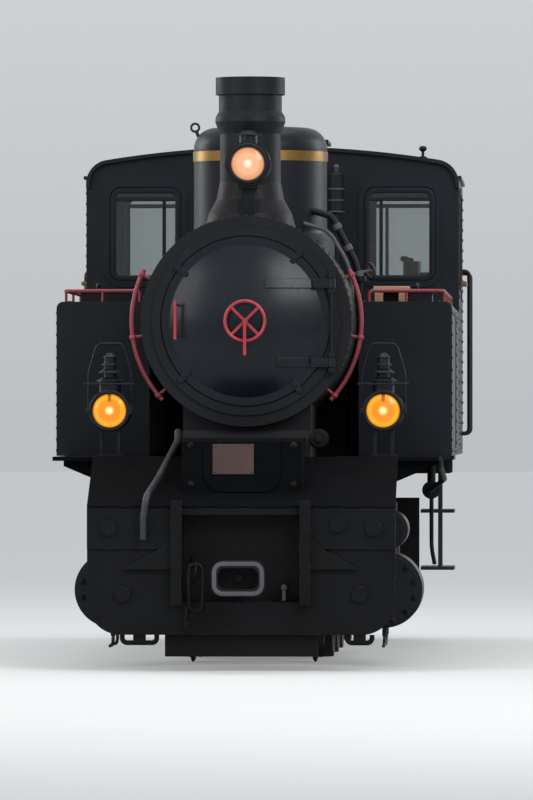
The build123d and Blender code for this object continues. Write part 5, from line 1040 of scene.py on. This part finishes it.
def make_bunker():
    """Beading and lip on the bunker's top, and rungs and grab rails on its back."""
    front = CAB_Y[1] + 0.02
    corners = ((-BUNKER_X, front), (-BUNKER_X, BUNKER_Y), (BUNKER_X, BUNKER_Y), (BUNKER_X, front))
    bead = pipe("bead", [(x, y, BUNKER_TOP) for x, y in corners], 0.014)
    low, high = (-0.42, BUNKER_Y - 0.03, BUNKER_TOP + 0.001), (0.42, BUNKER_Y + 0.03, BUNKER_TOP + 0.02)
    dress(joined("bunker_bead", [bead, slab("lip", low, high, 0.006)]), "black_enamel")
    pieces = []
    root = BUNKER_Y - 0.002
    for sign in (-1, 1):
        for z in RUNG_HEIGHTS:
            out_y = BUNKER_Y + RUNG_OUT
            points = ((0.79, root, z), (0.79, out_y, z), (0.55, out_y, z), (0.55, root, z))
            pieces.append(pipe("rung", mirrored(points, sign), 0.01, 0.02))
        foot, head = GRAB_HEIGHTS
        out_y = BUNKER_Y + GRAB_OUT
        points = ((GRAB_X, root, foot), (GRAB_X, out_y, foot), (GRAB_X, out_y, head), (GRAB_X, root, head))
        pieces.append(pipe("grab", mirrored(points, sign), 0.012, 0.03))
    dress(joined("bunker_irons", pieces), "black_enamel")


# Stage, camera and area lamps: place of each lamp, point that it faces, size in metres and watts
STUDIO_LAMPS = {
    "key_lamp": ((7, -14, 9), (0, -3, 1.6), 7, 900),
    "fill_lamp": ((-9, -10, 6), (0, -2, 1.4), 7, 420),
    "top_lamp": ((0, -1, 12), (0, -1, 1), 9, 500),
    "left_lamp": ((13, 7, 6), (0, 0.5, 1.4), 7, 520),
    "right_lamp": ((-13, 7, 6), (0, 0.5, 1.4), 7, 520),
}
# Floor's glow for the camera alone, and the sine of the angle up to which the backdrop is darker
FLOOR_GLOW = 0.22
HORIZON_BAND = 0.1


def make_stage():
    """Plain floor that looks a little paler than it lights the engine."""
    deselect()
    bpy.ops.mesh.primitive_plane_add(size=400)
    floor = bpy.context.active_object
    floor.name = "floor"
    tree = new_material("pale_floor")
    seen = put(tree, "LightPath", give="Is Camera Ray")
    shader = put(tree, "BsdfPrincipled", {
        "Base Color": "c0c0be", "Roughness": 0.9, "Emission Color": (1, 1, 1, 1),
        "Emission Strength": put(tree, "Math", (seen, FLOOR_GLOW), operation="MULTIPLY"),
    })
    put(tree, "OutputMaterial", {"Surface": shader})
    floor.data.materials.append(bpy.data.materials["pale_floor"])


def make_lights():
    """An overcast sky, seen as a plain pale backdrop, and five large area lamps."""
    world = bpy.data.worlds.new("soft_studio")
    bpy.context.scene.world = world
    world.use_nodes = True
    tree = world.node_tree
    tree.nodes.clear()
    seen = put(tree, "LightPath", give="Is Camera Ray")
    for ray in ("Is Glossy Ray", "Is Transmission Ray"):
        seen = put(tree, "Math", (seen, put(tree, "LightPath", give=ray)), operation="MAXIMUM")
    way = put(tree, "TexCoord", give="Generated")
    rise = put(tree, "MapRange", (put(tree, "SeparateXYZ", [way], "Z"), 0.0, HORIZON_BAND))
    shade = put(tree, "Mix", {0: rise, 6: "bcc0c3", 7: "dddedd"}, 2, data_type="RGBA")
    fill = put(tree, "Background", {"Color": "dfe6ee", "Strength": 0.75})
    pale = put(tree, "Background", {"Color": shade, "Strength": 1.0})
    put(tree, "OutputWorld", {"Surface": put(tree, "MixShader", (seen, fill, pale))})
    for name, (place, target, size, power) in STUDIO_LAMPS.items():
        light = bpy.data.lights.new(name, "AREA")
        light.shape = "SQUARE"
        light.size = size
        light.energy = power
        lamp = placed(name, light)
        lamp.location = place
        lamp.rotation_euler = (Vector(target) - Vector(place)).to_track_quat("-Z", "Y").to_euler()


def make_camera():
    """Camera at the photograph's place, turned and zoomed to the engine."""
    data = bpy.data.cameras.new("photo_camera")
    data.sensor_fit = "VERTICAL"
    data.sensor_height = SENSOR
    zoom = PHOTO_WIDTH / VIEW_WIDTH
    data.lens = PHOTO_FOCAL * zoom * SENSOR / PHOTO_HEIGHT
    data.clip_start = 0.1
    data.clip_end = 500.0
    camera = placed("photo_camera", data)
    camera.location = (CAMERA_ASIDE, BEAM_FACE - CAMERA_AHEAD, CAMERA_HEIGHT)
    yaw = atan((PHOTO_VANISH[0] - VIEW_CENTRE[0]) / PHOTO_FOCAL)
    pitch = atan((PHOTO_VANISH[1] - VIEW_CENTRE[1]) / PHOTO_FOCAL)
    camera.rotation_euler = (pi / 2 + pitch, 0, yaw)
    bpy.context.scene.camera = camera


make_rivets()
make_lamps()
make_front()
make_tank_tops()
make_pipes()
make_windows()
make_dials()
make_backhead()
make_controls()
make_running_gear()
make_bunker()
make_stage()
make_lights()
make_camera()
bpy.context.scene.view_settings.view_transform = "Standard"
